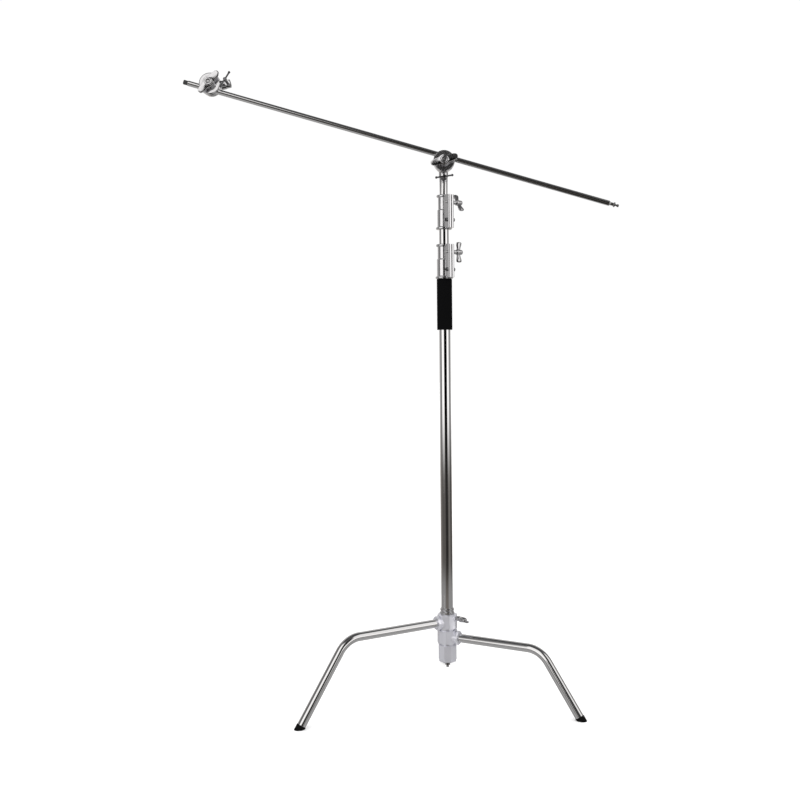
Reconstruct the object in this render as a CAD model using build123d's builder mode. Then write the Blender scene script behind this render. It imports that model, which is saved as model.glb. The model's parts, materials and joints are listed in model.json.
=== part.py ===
from build123d import *
import math
import os

# A studio C-stand with a grip head, a boom arm and a second grip head at the arm's end.
# Millimetres, +Z up, the origin on the column's axis at floor level.  -Y is the front.

# ---- Column -------------------------------------------------------------------------
base_tube_diameter = 35.0
middle_tube_diameter = 30.0
top_tube_diameter = 25.0
column_wall = 1.8
middle_tube_bottom = 430.0
top_tube_bottom = 580.0
middle_tube_showing = 45.0   # between the two collars, as the stand is set up
top_tube_showing = 35.0      # above the upper collar
plug_flange_height = 12.0
plug_spigot_height = 24.0
plug_wall = 3.0

# ---- Fits ---------------------------------------------------------------------------
running_gap = 0.08          # radial, for what turns or slides on a shaft
face_gap = 0.4              # between faces of pieces that move past each other
casting_gap = 0.5           # between one leg casting and the next

# ---- Leg castings and legs ----------------------------------------------------------
hub_bottom = 118.0
casting_wall = 11.0         # from the base tube to a casting's flat
lower_casting_wall = 9.75
casting_corner = 5.0
casting_edge = 1.5
cut_past = 10.0             # how far a cut runs on past the last face it opens
leg_tube_diameter = 25.4
leg_tube_wall = 2.0
leg_bend_radius = 75.0
leg_slope = 56.6            # degrees below level, below the knee
knee_reach = 257.0          # of the lowest leg
knee_step = 43.4            # each higher leg reaches this much further, so that they nest
lower_leg_azimuth = 88.0
middle_leg_azimuth = 330.8
upper_leg_azimuth = 210.8
leg_end_wall = 3.0          # of casting, between the base tube and a leg's end
socket_wall = 4.8
socket_beyond_flat = 12.5
socket_rim_lip = 3.5
socket_rim_width = 9.0
socket_rim_edge = 2.5
rim_margin_below = 1.1
rim_margin_above = 1.0
upper_casting_extra = 1.5
foot_lip = 0.8
foot_sole = 2.5             # under the tube's lowest edge
foot_spigot_height = 25.0
floor_block = 200.0         # cuts every foot flat at the floor
pin_diameter = 4.0
pin_inset = 9.0             # from the leg's end
pin_edge = 0.5
neck_wall = 4.0
neck_height = 18.0
neck_spigot = 4.0
neck_spigot_wall = 2.0
neck_edge = 1.5
neck_lip_inset = 0.5
neck_groove_depth = 2.0
neck_groove_start = 0.4     # shares of the neck's height
neck_groove_floor_start = 0.5
neck_groove_floor_end = 0.6
neck_groove_end = 0.68
notch_count = 8
notch_width = 10.0
notch_depth = 4.0
notch_height = 5.0
middle_notch_turn = 27.2    # from the leg's azimuth
upper_notch_turn = 11.5
snap_ring_height = 1.6
snap_ring_wall = 2.4
snap_ring_opening = 6.0
end_cap_skirt = 7.0
end_cap_height = 11.0
end_cap_neck_diameter = 20.0
end_cap_tip_diameter = 15.0
end_cap_plug_height = 16.0
end_nut_flats = 13.0
end_nut_height = 8.0
end_bolt_diameter = 8.0
end_bolt_tip = 7.0
end_bolt_edge = 1.5

# ---- Riser collars ------------------------------------------------------------------
lower_collar_bottom = 1268.0
collar_height = 104.0
collar_step_height = 57.0
collar_seat_depth = 60.0
liner_clearance = 4.0        # between the seated tube's end and the liner
collar_wall = 5.0
collar_flange_lip = 4.6
collar_flange_height = 8.0
liner_wall = 1.4
ear_azimuth = -60.0
ear_beyond_tube = 25.5
ear_width = 20.0
ear_corner = 4.0
split_width = 3.0
clamp_bolt_beyond_tube = 15.5
clamp_bolt_height = 78.5
adjust_bolt_height = 26.0
clamp_bolt_diameter = 8.0
adjust_bolt_diameter = 6.0
knob_stem_length = 12.0
knob_hub_diameter = 17.0
knob_hub_length = 22.0
knob_wing_width = 14.0
knob_wing_thickness = 6.0
knob_stem_share = 0.72      # of the hub's diameter
knob_hub_edge = 2.0
knob_hub_taper = 1.5
knob_nose_edge = 3.0
knob_wing_lift = 1.0
knob_thread_length = 8.0    # screw inside the hub
screw_edge = 0.8
clamp_screw_past_ear = 7.0
adjust_head_flats = 10.2
adjust_head_height = 5.0
collar_edge = 2.0
collar_slope = 3.0
collar_wing_span = 62.0
upper_knob_turn = -35.0     # degrees about its own screw
lower_knob_turn = 0.0

# ---- Grip sleeve --------------------------------------------------------------------
grip_wall = 5.7
grip_length = 154.5
grip_edge = 2.0

# ---- Leg lock -----------------------------------------------------------------------
leg_lock_azimuth = -35.0
leg_lock_drop = 10.3         # below the top of the upper casting
leg_lock_wing_span = 54.0
leg_lock_turn = 62.0
leg_lock_boss_beyond_flat = 4.5
leg_lock_boss_diameter = 18.0

# ---- Stud and grip heads ------------------------------------------------------------
stud_diameter = 16.0
stud_shoulder_height = 4.0
stud_length = 48.0
stud_edge = 1.5
socket_bottom_room = 2.5     # past the stud's end
socket_mouth = 56.6         # from the head's axis to the mouth of its socket
barrel_wall = 6.0
barrel_rim_wall = 4.7
barrel_rim_height = 13.0
barrel_top = 15.0
barrel_edge = 2.0
barrel_rim_edge = 1.0
head_disc_diameter = 61.0
head_disc_back = 9.0        # distances along the head's own axis, from the socket's axis
head_disc_front = 20.0
washer_thickness = 1.6
washer_inset = 1.5
washer_room = 1.0
jaw_wall = 1.69              # behind the point of the boom's groove
jaw_gap = 3.0
jaw_diameter = 64.0
jaw_edge = 2.5
head_bolt_diameter = 8.0
head_bolt_root = 12.0
head_bolt_short = 2.0       # below the handle's nose
thrust_washer_thickness = 2.5
thrust_washer_diameter = 22.0
handle_neck_diameter = 24.0
handle_neck_height = 9.0
handle_wing_height = 9.0
handle_span = 84.0
handle_width = 33.0
handle_leaf_inset = 4.0
handle_nose_edge = 2.0
handle_nose_height = 4.0
handle_socket_diameter = 12.0
handle_socket_depth = 7.0
groove_beyond_rod = 7.0      # from the bolt's axis to the near side of the boom
small_rod_diameter = 12.0
groove_flare = 4.0
spring_wire = 1.3
spring_gap = 0.25
spring_depth = 3.0
spring_coils = 4
t_screw_reach = 48.0        # from the head's axis, along its socket
t_screw_diameter = 8.0
t_screw_tip = 8.4           # from the socket's axis
t_boss_diameter = 16.0
t_boss_height = 18.0
t_head_diameter = 11.0
t_head_start = 49.0
t_head_end = 61.0
t_head_edge = 1.0
tommy_height = 56.0
tommy_diameter = 5.0
tommy_length = 48.0
tommy_ball_diameter = 7.6
arm_receiver_angle = 12.0   # above level, seen from the front
mast_tommy_angle = 8.0
arm_tommy_angle = 58.0
mast_handle_angle = 16.0
arm_handle_angle = 47.0

# ---- Boom ---------------------------------------------------------------------------
boom_diameter = 16.0
boom_tilt = 16.4            # degrees, its right end down
boom_left = 801.0
boom_right = 511.0
arm_head_station = 736.0
boom_edge = 1.0
boom_cap_step = 1.0
boom_cap_length = 14.0
boom_cap_edge = 1.5
boom_cap_root = 1.0
boom_cap_spigot_length = 12.0
end_stud_neck_diameter = 10.0
end_stud_neck_length = 13.0
end_stud_flange_diameter = 15.0
end_stud_flange_length = 4.0
end_stud_waist_diameter = 6.0
end_stud_waist_length = 6.0
end_stud_tip_diameter = 9.0
end_stud_tip_length = 6.0
end_stud_shoulder = 3.0
end_stud_edge = 1.0

# ---- Sizes that follow ----------------------------------------------------------------
base_radius = base_tube_diameter / 2
casting_flats = base_tube_diameter + 2 * casting_wall
lower_casting_flats = base_tube_diameter + 2 * lower_casting_wall
socket_diameter = leg_tube_diameter + 2 * socket_wall
socket_rim_diameter = socket_diameter + 2 * socket_rim_lip
leg_axis_height = socket_rim_diameter / 2 + rim_margin_below
casting_height = leg_axis_height + socket_rim_diameter / 2 + rim_margin_above
upper_casting_height = casting_height + upper_casting_extra
socket_start = base_radius + leg_end_wall
socket_end = casting_flats / 2 + socket_beyond_flat
foot_diameter = leg_tube_diameter + 2 * foot_lip
neck_diameter = base_tube_diameter + 2 * neck_wall
leg_lock_boss_reach = casting_flats / 2 + leg_lock_boss_beyond_flat
grip_diameter = base_tube_diameter + 2 * grip_wall
grip_bottom = lower_collar_bottom - casting_gap - grip_length
ear_reach = base_radius + ear_beyond_tube
clamp_bolt_reach = base_radius + clamp_bolt_beyond_tube
upper_collar_bottom = lower_collar_bottom + collar_height + middle_tube_showing
top_tube_top = upper_collar_bottom + collar_height + top_tube_showing
base_tube_top = lower_collar_bottom + collar_seat_depth
middle_tube_top = upper_collar_bottom + collar_seat_depth
liner_height = collar_height - collar_seat_depth - liner_clearance
head_height = top_tube_top + stud_shoulder_height + face_gap + socket_mouth
socket_bore_depth = stud_length + socket_bottom_room
barrel_diameter = stud_diameter + 2 * barrel_wall
barrel_rim_diameter = stud_diameter + 2 * barrel_rim_wall
jaw_thickness = boom_diameter / math.sqrt(2) + jaw_wall
groove_offset = boom_diameter / 2 + groove_beyond_rod
boom_cap_diameter = boom_diameter - 2 * boom_cap_step
boom_cap_spigot_diameter = boom_diameter / 2

FOOT = (Align.CENTER, Align.CENTER, Align.MIN)
UNDER = (Align.CENTER, Align.CENTER, Align.MAX)
UP = Vector(0, 0, 1)
FRONT = Vector(0, -1, 0)

os.makedirs("parts", exist_ok=True)


def keep(piece, label):
    """Name a finished piece and write it."""
    piece.part.label = label
    export_step(piece.part, f"parts/{label}.step")


def level(height):
    """The level plane at a height."""
    return Plane.XY.offset(height)


def heading(azimuth):
    """The level direction at an azimuth, in degrees from +X."""
    return Vector(math.cos(math.radians(azimuth)), math.sin(math.radians(azimuth)), 0)


def across(origin, direction, x_dir=UP):
    """A plane at a point that faces along a direction."""
    return Plane(origin=origin, x_dir=x_dir, z_dir=direction)


def post(plane, diameter, length, mode=Mode.ADD):
    """A round post, or a hole, that stands on a plane."""
    with Locations(plane):
        Cylinder(diameter / 2, length, align=FOOT, mode=mode)


def turned(axis_plane, outline):
    """A turned solid: points of (radius, height) about the plane's own normal."""
    side = Plane(origin=axis_plane.origin, x_dir=axis_plane.x_dir, z_dir=-axis_plane.y_dir)
    with BuildSketch(side) as section:
        with BuildLine():
            Polyline(*outline, close=True)
        make_face()
    revolve(section.sketch, axis=Axis(axis_plane.origin, axis_plane.z_dir))


def make_tube(label, diameter, bottom, top):
    """A plain length of column tube."""
    with BuildPart() as tube:
        post(level(bottom), diameter, top - bottom)
        post(level(bottom), diameter - 2 * column_wall, top - bottom, Mode.SUBTRACT)
    keep(tube, label)


def make_plug(label, riser_diameter, outer_diameter, riser_bottom):
    """The nylon plug in a riser's foot, which guides it in the tube around it."""
    inside = riser_diameter - 2 * column_wall
    guide = outer_diameter - 2 * column_wall - 2 * running_gap
    height = plug_flange_height + plug_spigot_height
    with BuildPart() as plug:
        post(level(riser_bottom - plug_flange_height), guide, plug_flange_height)
        post(level(riser_bottom), inside, plug_spigot_height)
        post(level(riser_bottom - plug_flange_height), inside - 2 * plug_wall, height, Mode.SUBTRACT)
    keep(plug, label)


# ---- The column ---------------------------------------------------------------------
make_tube("base_tube", base_tube_diameter, hub_bottom, base_tube_top)
make_tube("middle_tube", middle_tube_diameter, middle_tube_bottom, middle_tube_top)
make_tube("top_tube", top_tube_diameter, top_tube_bottom, top_tube_top)
make_plug("middle_tube_plug", middle_tube_diameter, base_tube_diameter, middle_tube_bottom)
make_plug("top_tube_plug", top_tube_diameter, middle_tube_diameter, top_tube_bottom)

with BuildPart() as grip_sleeve:
    post(level(grip_bottom), grip_diameter, grip_length)
    fillet(edges().filter_by(GeomType.CIRCLE), grip_edge)
    post(level(grip_bottom), base_tube_diameter, grip_length, Mode.SUBTRACT)
keep(grip_sleeve, "grip_sleeve")

stud_seat = top_tube_top + stud_shoulder_height
with BuildPart() as top_stud:
    post(level(top_tube_top - plug_spigot_height), top_tube_diameter - 2 * column_wall, plug_spigot_height)
    post(level(top_tube_top), top_tube_diameter, stud_shoulder_height)
    post(level(stud_seat), stud_diameter, stud_length)
    chamfer(edges().group_by(Axis.Z)[-1], stud_edge)
keep(top_stud, "top_stud")


# ---- Leg castings -------------------------------------------------------------------
def casting_blank(bottom, height, flats, bore, azimuth):
    """The eight-sided body, the leg's socket and both bores of a leg casting."""
    leg_height = bottom + leg_axis_height
    outward = heading(azimuth)
    with BuildSketch(Plane(origin=(0, 0, bottom), x_dir=outward, z_dir=UP)) as section:
        RegularPolygon(flats / 2, 8, major_radius=False, rotation=22.5)
        fillet(section.vertices(), casting_corner)
    extrude(section.sketch, amount=height)
    chamfer(edges().group_by(Axis.Z)[0] + edges().group_by(Axis.Z)[-1], casting_edge)
    socket = across((0, 0, leg_height), outward)
    post(socket, socket_diameter, socket_end - socket_rim_edge)
    rim = socket.offset(socket_end - socket_rim_width)
    rim_radius = socket_rim_diameter / 2
    turned(
        rim,
        [
            (leg_tube_diameter / 4, 0),
            (rim_radius - socket_rim_edge, 0),
            (rim_radius, socket_rim_edge),
            (rim_radius, socket_rim_width - socket_rim_edge),
            (rim_radius - socket_rim_edge, socket_rim_width),
            (leg_tube_diameter / 4, socket_rim_width),
        ],
    )
    post(socket.offset(socket_start), leg_tube_diameter, socket_end, Mode.SUBTRACT)
    post(level(bottom), bore, height, Mode.SUBTRACT)


def cut_notches(bottom, flats, azimuth):
    """The locking notches around the foot of a casting; the azimuth is one notch's own."""
    with BuildSketch(Plane(origin=(0, 0, bottom), x_dir=heading(azimuth), z_dir=UP)) as notches:
        with PolarLocations(flats / 2, notch_count):
            Rectangle(notch_depth * 2, notch_width)
    extrude(notches.sketch, amount=notch_height, mode=Mode.SUBTRACT)


def pin_hole(azimuth, leg_height, diameter):
    """The cross pin through the socket and the leg, as a hole or as the pin itself."""
    foot = heading(azimuth) * (socket_start + pin_inset) + UP * (leg_height - socket_diameter / 2)
    return (foot, diameter)


def cut_pin_hole(azimuth, leg_height):
    """The hole for the cross pin, through the socket's two walls."""
    foot, diameter = pin_hole(azimuth, leg_height, pin_diameter)
    start = Plane(origin=foot - UP * pin_edge, z_dir=UP)
    post(start, diameter, socket_diameter + 2 * pin_edge, Mode.SUBTRACT)


def make_pin(label, azimuth, leg_height):
    """The roll pin that holds a leg in its casting."""
    foot, diameter = pin_hole(azimuth, leg_height, pin_diameter)
    with BuildPart() as pin:
        post(Plane(origin=foot, z_dir=UP), diameter, socket_diameter)
        chamfer(edges().filter_by(GeomType.CIRCLE), pin_edge)
    keep(pin, label)


casting_pitch = casting_height + casting_gap
middle_bottom = hub_bottom + casting_pitch
upper_bottom = hub_bottom + 2 * casting_pitch
upper_top = upper_bottom + upper_casting_height
leg_heights = [bottom + leg_axis_height for bottom in (hub_bottom, middle_bottom, upper_bottom)]
leg_lock_height = upper_top - leg_lock_drop

with BuildPart() as lower_leg_casting:
    casting_blank(hub_bottom, casting_height, lower_casting_flats, base_tube_diameter, lower_leg_azimuth)
    cut_pin_hole(lower_leg_azimuth, leg_heights[0])
keep(lower_leg_casting, "lower_leg_casting")

turning_bore = base_tube_diameter + 2 * running_gap
ring_pocket = base_tube_diameter + 2 * (snap_ring_wall + face_gap)
with BuildPart() as middle_leg_casting:
    casting_blank(middle_bottom, casting_height, casting_flats, turning_bore, middle_leg_azimuth)
    cut_notches(middle_bottom, casting_flats, middle_leg_azimuth + middle_notch_turn)
    ring_floor = middle_bottom + casting_height - snap_ring_height - 2 * face_gap
    post(level(ring_floor), ring_pocket, cut_past, Mode.SUBTRACT)
    cut_pin_hole(middle_leg_azimuth, leg_heights[1])
keep(middle_leg_casting, "middle_leg_casting")

with BuildPart() as leg_snap_ring:
    post(level(ring_floor + face_gap), base_tube_diameter + 2 * snap_ring_wall, snap_ring_height)
    post(level(ring_floor), base_tube_diameter, cut_past, Mode.SUBTRACT)
    with Locations((0, -base_tube_diameter / 2, ring_floor)):
        Box(snap_ring_opening, 2 * snap_ring_opening, 2 * cut_past, mode=Mode.SUBTRACT)
keep(leg_snap_ring, "leg_snap_ring")

lock_outward = heading(leg_lock_azimuth)
lock_axis = across((0, 0, leg_lock_height), lock_outward)
spigot_diameter = turning_bore + 2 * neck_spigot_wall
with BuildPart() as upper_leg_casting:
    casting_blank(upper_bottom, upper_casting_height, casting_flats, turning_bore, upper_leg_azimuth)
    post(lock_axis.offset(socket_start), leg_lock_boss_diameter, leg_lock_boss_reach - socket_start)
    cut_notches(upper_bottom, casting_flats, upper_leg_azimuth + upper_notch_turn)
    neck_pocket = spigot_diameter + 2 * running_gap
    post(level(upper_top - neck_spigot - face_gap), neck_pocket, cut_past, Mode.SUBTRACT)
    post(lock_axis, clamp_bolt_diameter + 2 * running_gap, leg_lock_boss_reach + cut_past, Mode.SUBTRACT)
    cut_pin_hole(upper_leg_azimuth, leg_heights[2])
keep(upper_leg_casting, "upper_leg_casting")

neck_foot = upper_top + face_gap
with BuildPart() as neck_collar:
    turned(
        level(neck_foot),
        [
            (turning_bore / 2, -neck_spigot),
            (spigot_diameter / 2, -neck_spigot),
            (spigot_diameter / 2, 0),
            (neck_diameter / 2, 0),
            (neck_diameter / 2, neck_height * neck_groove_start),
            (neck_diameter / 2 - neck_groove_depth, neck_height * neck_groove_floor_start),
            (neck_diameter / 2 - neck_groove_depth, neck_height * neck_groove_floor_end),
            (neck_diameter / 2 - neck_lip_inset, neck_height * neck_groove_end),
            (neck_diameter / 2 - neck_lip_inset, neck_height - neck_edge),
            (neck_diameter / 2 - neck_groove_depth, neck_height),
            (turning_bore / 2, neck_height),
        ],
    )
keep(neck_collar, "neck_collar")

skirt_foot = hub_bottom - end_cap_skirt
cap_bore_length = end_cap_height + end_cap_plug_height + cut_past
with BuildPart() as base_end_cap:
    corner_angle = lower_leg_azimuth + 22.5
    with BuildSketch(level(skirt_foot)) as skirt:
        RegularPolygon(lower_casting_flats / 2 - casting_edge, 8, major_radius=False, rotation=corner_angle)
        fillet(skirt.vertices(), casting_corner)
    extrude(amount=end_cap_skirt)
    chamfer(edges().group_by(Axis.Z)[0], casting_edge)
    with BuildSketch(level(skirt_foot)):
        Circle(end_cap_neck_diameter / 2)
    with BuildSketch(level(hub_bottom - end_cap_height)):
        Circle(end_cap_tip_diameter / 2)
    loft()
    post(level(hub_bottom), base_tube_diameter - 2 * column_wall, end_cap_plug_height)
    post(level(hub_bottom - end_cap_height), end_bolt_diameter, cap_bore_length, Mode.SUBTRACT)
keep(base_end_cap, "base_end_cap")

cap_face = hub_bottom - end_cap_height
with BuildPart() as base_end_nut:
    with BuildSketch(level(cap_face - end_nut_height)):
        RegularPolygon(end_nut_flats / 2, 6, major_radius=False)
    extrude(amount=end_nut_height)
    post(level(cap_face - end_nut_height), end_bolt_diameter, end_nut_height, Mode.SUBTRACT)
keep(base_end_nut, "base_end_nut")

with BuildPart() as base_end_bolt:
    bolt_foot = cap_face - end_nut_height - end_bolt_tip
    post(level(bolt_foot), end_bolt_diameter, hub_bottom + end_cap_plug_height - bolt_foot)
    chamfer(edges().group_by(Axis.Z)[0], end_bolt_edge)
keep(base_end_bolt, "base_end_bolt")


# ---- Legs and feet ------------------------------------------------------------------
def make_leg(name, azimuth, leg_height, reach):
    """A bent leg tube, its rubber foot and its cross pin."""
    outward = heading(azimuth)
    slope = math.radians(leg_slope)
    side = Plane(origin=(0, 0, 0), x_dir=outward, z_dir=Vector(outward.Y, -outward.X, 0))
    end_height = foot_sole + leg_tube_diameter / 2 * math.cos(slope)
    end_reach = reach + (leg_height - end_height) / math.tan(slope)
    with BuildPart() as leg_tube:
        with BuildLine(side) as route:
            FilletPolyline(
                (socket_start, leg_height),
                (reach, leg_height),
                (end_reach, end_height),
                radius=leg_bend_radius,
            )
        with BuildSketch(across(outward * socket_start + UP * leg_height, outward)) as section:
            Circle(leg_tube_diameter / 2)
            Circle(leg_tube_diameter / 2 - leg_tube_wall, mode=Mode.SUBTRACT)
        sweep(section.sketch, path=route.line)
        foot_point, diameter = pin_hole(azimuth, leg_height, pin_diameter)
        post(Plane(origin=foot_point, z_dir=UP), diameter, socket_diameter, Mode.SUBTRACT)
    keep(leg_tube, f"{name}_tube")

    down = outward * math.cos(slope) - UP * math.sin(slope)
    tube_end = outward * end_reach + UP * end_height
    end_plane = across(tube_end, down, outward.cross(UP))
    with BuildPart() as foot:
        post(end_plane, foot_diameter, 3 * foot_diameter)
        with Locations((tube_end.X, tube_end.Y, 0)):
            Box(floor_block, floor_block, floor_block, align=UNDER, mode=Mode.SUBTRACT)
        inside = leg_tube_diameter - 2 * leg_tube_wall
        post(end_plane.offset(-foot_spigot_height), inside, foot_spigot_height)
    keep(foot, f"{name}_foot")
    make_pin(f"{name}_pin", azimuth, leg_height)


for count, (name, azimuth) in enumerate(
    [
        ("lower_leg", lower_leg_azimuth),
        ("middle_leg", middle_leg_azimuth),
        ("upper_leg", upper_leg_azimuth),
    ]
):
    make_leg(name, azimuth, leg_heights[count], knee_reach + count * knee_step)


# ---- Wing knobs ---------------------------------------------------------------------
def make_wing_knob(label, seat, span, turn, screw_back):
    """A wing knob on its screw; the seat plane faces along the screw, out of the casting."""
    wing_x = seat.x_dir * math.cos(math.radians(turn)) + seat.y_dir * math.sin(math.radians(turn))
    knob_plane = Plane(origin=seat.origin, x_dir=wing_x, z_dir=seat.z_dir)
    with BuildPart() as knob:
        post(knob_plane.offset(face_gap), knob_hub_diameter * knob_stem_share, knob_stem_length)
        hub_foot = knob_plane.offset(knob_stem_length)
        hub_radius = knob_hub_diameter / 2
        turned(
            hub_foot,
            [
                (0, 0),
                (hub_radius - knob_hub_edge, 0),
                (hub_radius, knob_hub_edge),
                (hub_radius - knob_hub_taper, knob_hub_length - knob_nose_edge),
                (hub_radius - knob_hub_taper - knob_nose_edge, knob_hub_length),
                (0, knob_hub_length),
            ],
        )
        wing_height = knob_stem_length + knob_wing_width / 2 + knob_wing_lift
        wing_side = Plane(
            origin=knob_plane.origin + knob_plane.z_dir * wing_height,
            x_dir=wing_x,
            z_dir=-knob_plane.y_dir,
        )
        with BuildSketch(wing_side) as wings:
            SlotOverall(span, knob_wing_width)
        extrude(wings.sketch, amount=knob_wing_thickness / 2, both=True)
        post(knob_plane, clamp_bolt_diameter, knob_stem_length + knob_thread_length, Mode.SUBTRACT)
    keep(knob, f"{label}_knob")
    with BuildPart() as screw:
        screw_length = screw_back + knob_stem_length + knob_thread_length
        post(seat.offset(-screw_back), clamp_bolt_diameter, screw_length)
        chamfer(edges().filter_by(GeomType.CIRCLE), screw_edge)
    keep(screw, f"{label}_screw")


lock_tip = base_tube_diameter / 2 + face_gap
make_wing_knob(
    "leg_lock",
    lock_axis.offset(leg_lock_boss_reach),
    leg_lock_wing_span,
    leg_lock_turn,
    leg_lock_boss_reach - lock_tip,
)


# ---- Riser collars ------------------------------------------------------------------
ear_outward = heading(ear_azimuth)
screw_direction = heading(ear_azimuth + 90)


def make_collar(name, bottom, fixed_diameter, riser_diameter, knob_turn):
    """A split clamp casting on top of one tube, its liner, bolts and wing knob."""
    lower_radius = fixed_diameter / 2 + collar_wall
    upper_radius = riser_diameter / 2 + collar_wall
    lip = collar_flange_lip
    step = collar_step_height
    bolt_foot = ear_outward * clamp_bolt_reach + UP * (bottom + clamp_bolt_height)
    adjust_foot = ear_outward * clamp_bolt_reach + UP * (bottom + adjust_bolt_height)
    bolt_axis = across(bolt_foot - screw_direction * ear_width / 2, screw_direction)
    adjust_axis = across(adjust_foot - screw_direction * ear_width / 2, screw_direction)
    with BuildPart() as casting:
        turned(
            level(bottom),
            [
                (0, 0),
                (lower_radius + lip - collar_edge, 0),
                (lower_radius + lip, collar_edge),
                (lower_radius + lip, collar_flange_height - collar_slope),
                (lower_radius, collar_flange_height),
                (lower_radius, step),
                (upper_radius, step + collar_slope),
                (upper_radius, collar_height - collar_flange_height),
                (upper_radius + lip, collar_height - collar_flange_height + collar_slope),
                (upper_radius + lip, collar_height - collar_edge),
                (upper_radius + lip - collar_edge, collar_height),
                (0, collar_height),
            ],
        )
        with BuildSketch(Plane(origin=(0, 0, bottom + collar_edge), x_dir=ear_outward, z_dir=UP)) as ears:
            with Locations((ear_reach / 2, 0)):
                Rectangle(ear_reach, ear_width)
            fillet(ears.vertices().group_by(Axis.X)[-1], ear_corner)
        extrude(ears.sketch, amount=collar_height - 2 * collar_edge)
        post(level(bottom), fixed_diameter, collar_seat_depth, Mode.SUBTRACT)
        liner_foot = bottom + collar_height - liner_height
        lined = riser_diameter + 2 * (running_gap + liner_wall)
        post(level(bottom), riser_diameter + 2 * face_gap, collar_height, Mode.SUBTRACT)
        post(level(liner_foot), lined, liner_height, Mode.SUBTRACT)
        with BuildSketch(Plane(origin=(0, 0, bottom), x_dir=ear_outward, z_dir=UP)) as split:
            with Locations((ear_reach, 0)):
                Rectangle(2 * ear_reach, split_width)
        extrude(split.sketch, amount=collar_height, mode=Mode.SUBTRACT)
        post(bolt_axis, clamp_bolt_diameter + 2 * running_gap, ear_width, Mode.SUBTRACT)
        post(adjust_axis, adjust_bolt_diameter, ear_width, Mode.SUBTRACT)
    keep(casting, f"{name}_casting")

    with BuildPart() as liner:
        post(level(liner_foot), lined, liner_height)
        post(level(liner_foot), riser_diameter + 2 * running_gap, liner_height, Mode.SUBTRACT)
        with BuildSketch(Plane(origin=(0, 0, liner_foot), x_dir=ear_outward, z_dir=UP)) as slit:
            with Locations((ear_reach, 0)):
                Rectangle(2 * ear_reach, split_width)
        extrude(slit.sketch, amount=liner_height, mode=Mode.SUBTRACT)
    keep(liner, f"{name}_liner")

    with BuildPart() as adjust_bolt:
        adjust_length = ear_width + 2 * adjust_head_height
        post(adjust_axis.offset(-adjust_head_height), adjust_bolt_diameter, adjust_length)
        for face_offset in (-adjust_head_height, ear_width):
            with BuildSketch(adjust_axis.offset(face_offset)) as head:
                RegularPolygon(adjust_head_flats / 2, 6, major_radius=False)
            extrude(head.sketch, amount=adjust_head_height)
    keep(adjust_bolt, f"{name}_adjust_bolt")
    seat = bolt_axis.offset(ear_width)
    make_wing_knob(f"{name}_clamp", seat, collar_wing_span, knob_turn, ear_width + clamp_screw_past_ear)


make_collar("lower_collar", lower_collar_bottom, base_tube_diameter, middle_tube_diameter, lower_knob_turn)
make_collar("upper_collar", upper_collar_bottom, middle_tube_diameter, top_tube_diameter, upper_knob_turn)


# ---- Grip heads ---------------------------------------------------------------------
tilt = math.radians(boom_tilt)
boom_direction = Vector(math.cos(tilt), 0, -math.sin(tilt))
boom_normal = Vector(math.sin(tilt), 0, math.cos(tilt))
washer_front = head_disc_front + washer_thickness
jaw_middle = washer_front + jaw_thickness + jaw_gap / 2
jaws_front = washer_front + 2 * jaw_thickness + jaw_gap
handle_foot = jaws_front + thrust_washer_thickness
handle_front = handle_foot + handle_neck_height + handle_wing_height + handle_nose_height


def in_front(angle):
    """The direction at an angle above level, seen from the front."""
    return Vector(math.cos(math.radians(angle)), 0, math.sin(math.radians(angle)))


def cut_groove(face, depth_direction, offset, rod_diameter):
    """A right-angled groove for a rod, cut into a jaw's face along the face's x direction."""
    apex = (rod_diameter / 2 + running_gap) * math.sqrt(2)
    side = Plane(origin=face.origin, x_dir=face.y_dir, z_dir=face.x_dir)
    toward = 1 if side.y_dir.dot(depth_direction) > 0 else -1
    depth = apex - jaw_gap / 2
    with BuildSketch(side) as groove:
        with BuildLine():
            Polyline(
                (offset - apex - groove_flare, -toward * (jaw_gap / 2 + groove_flare)),
                (offset, toward * depth),
                (offset + apex + groove_flare, -toward * (jaw_gap / 2 + groove_flare)),
                close=True,
            )
        make_face()
    extrude(groove.sketch, amount=jaw_diameter, both=True, mode=Mode.SUBTRACT)


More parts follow.
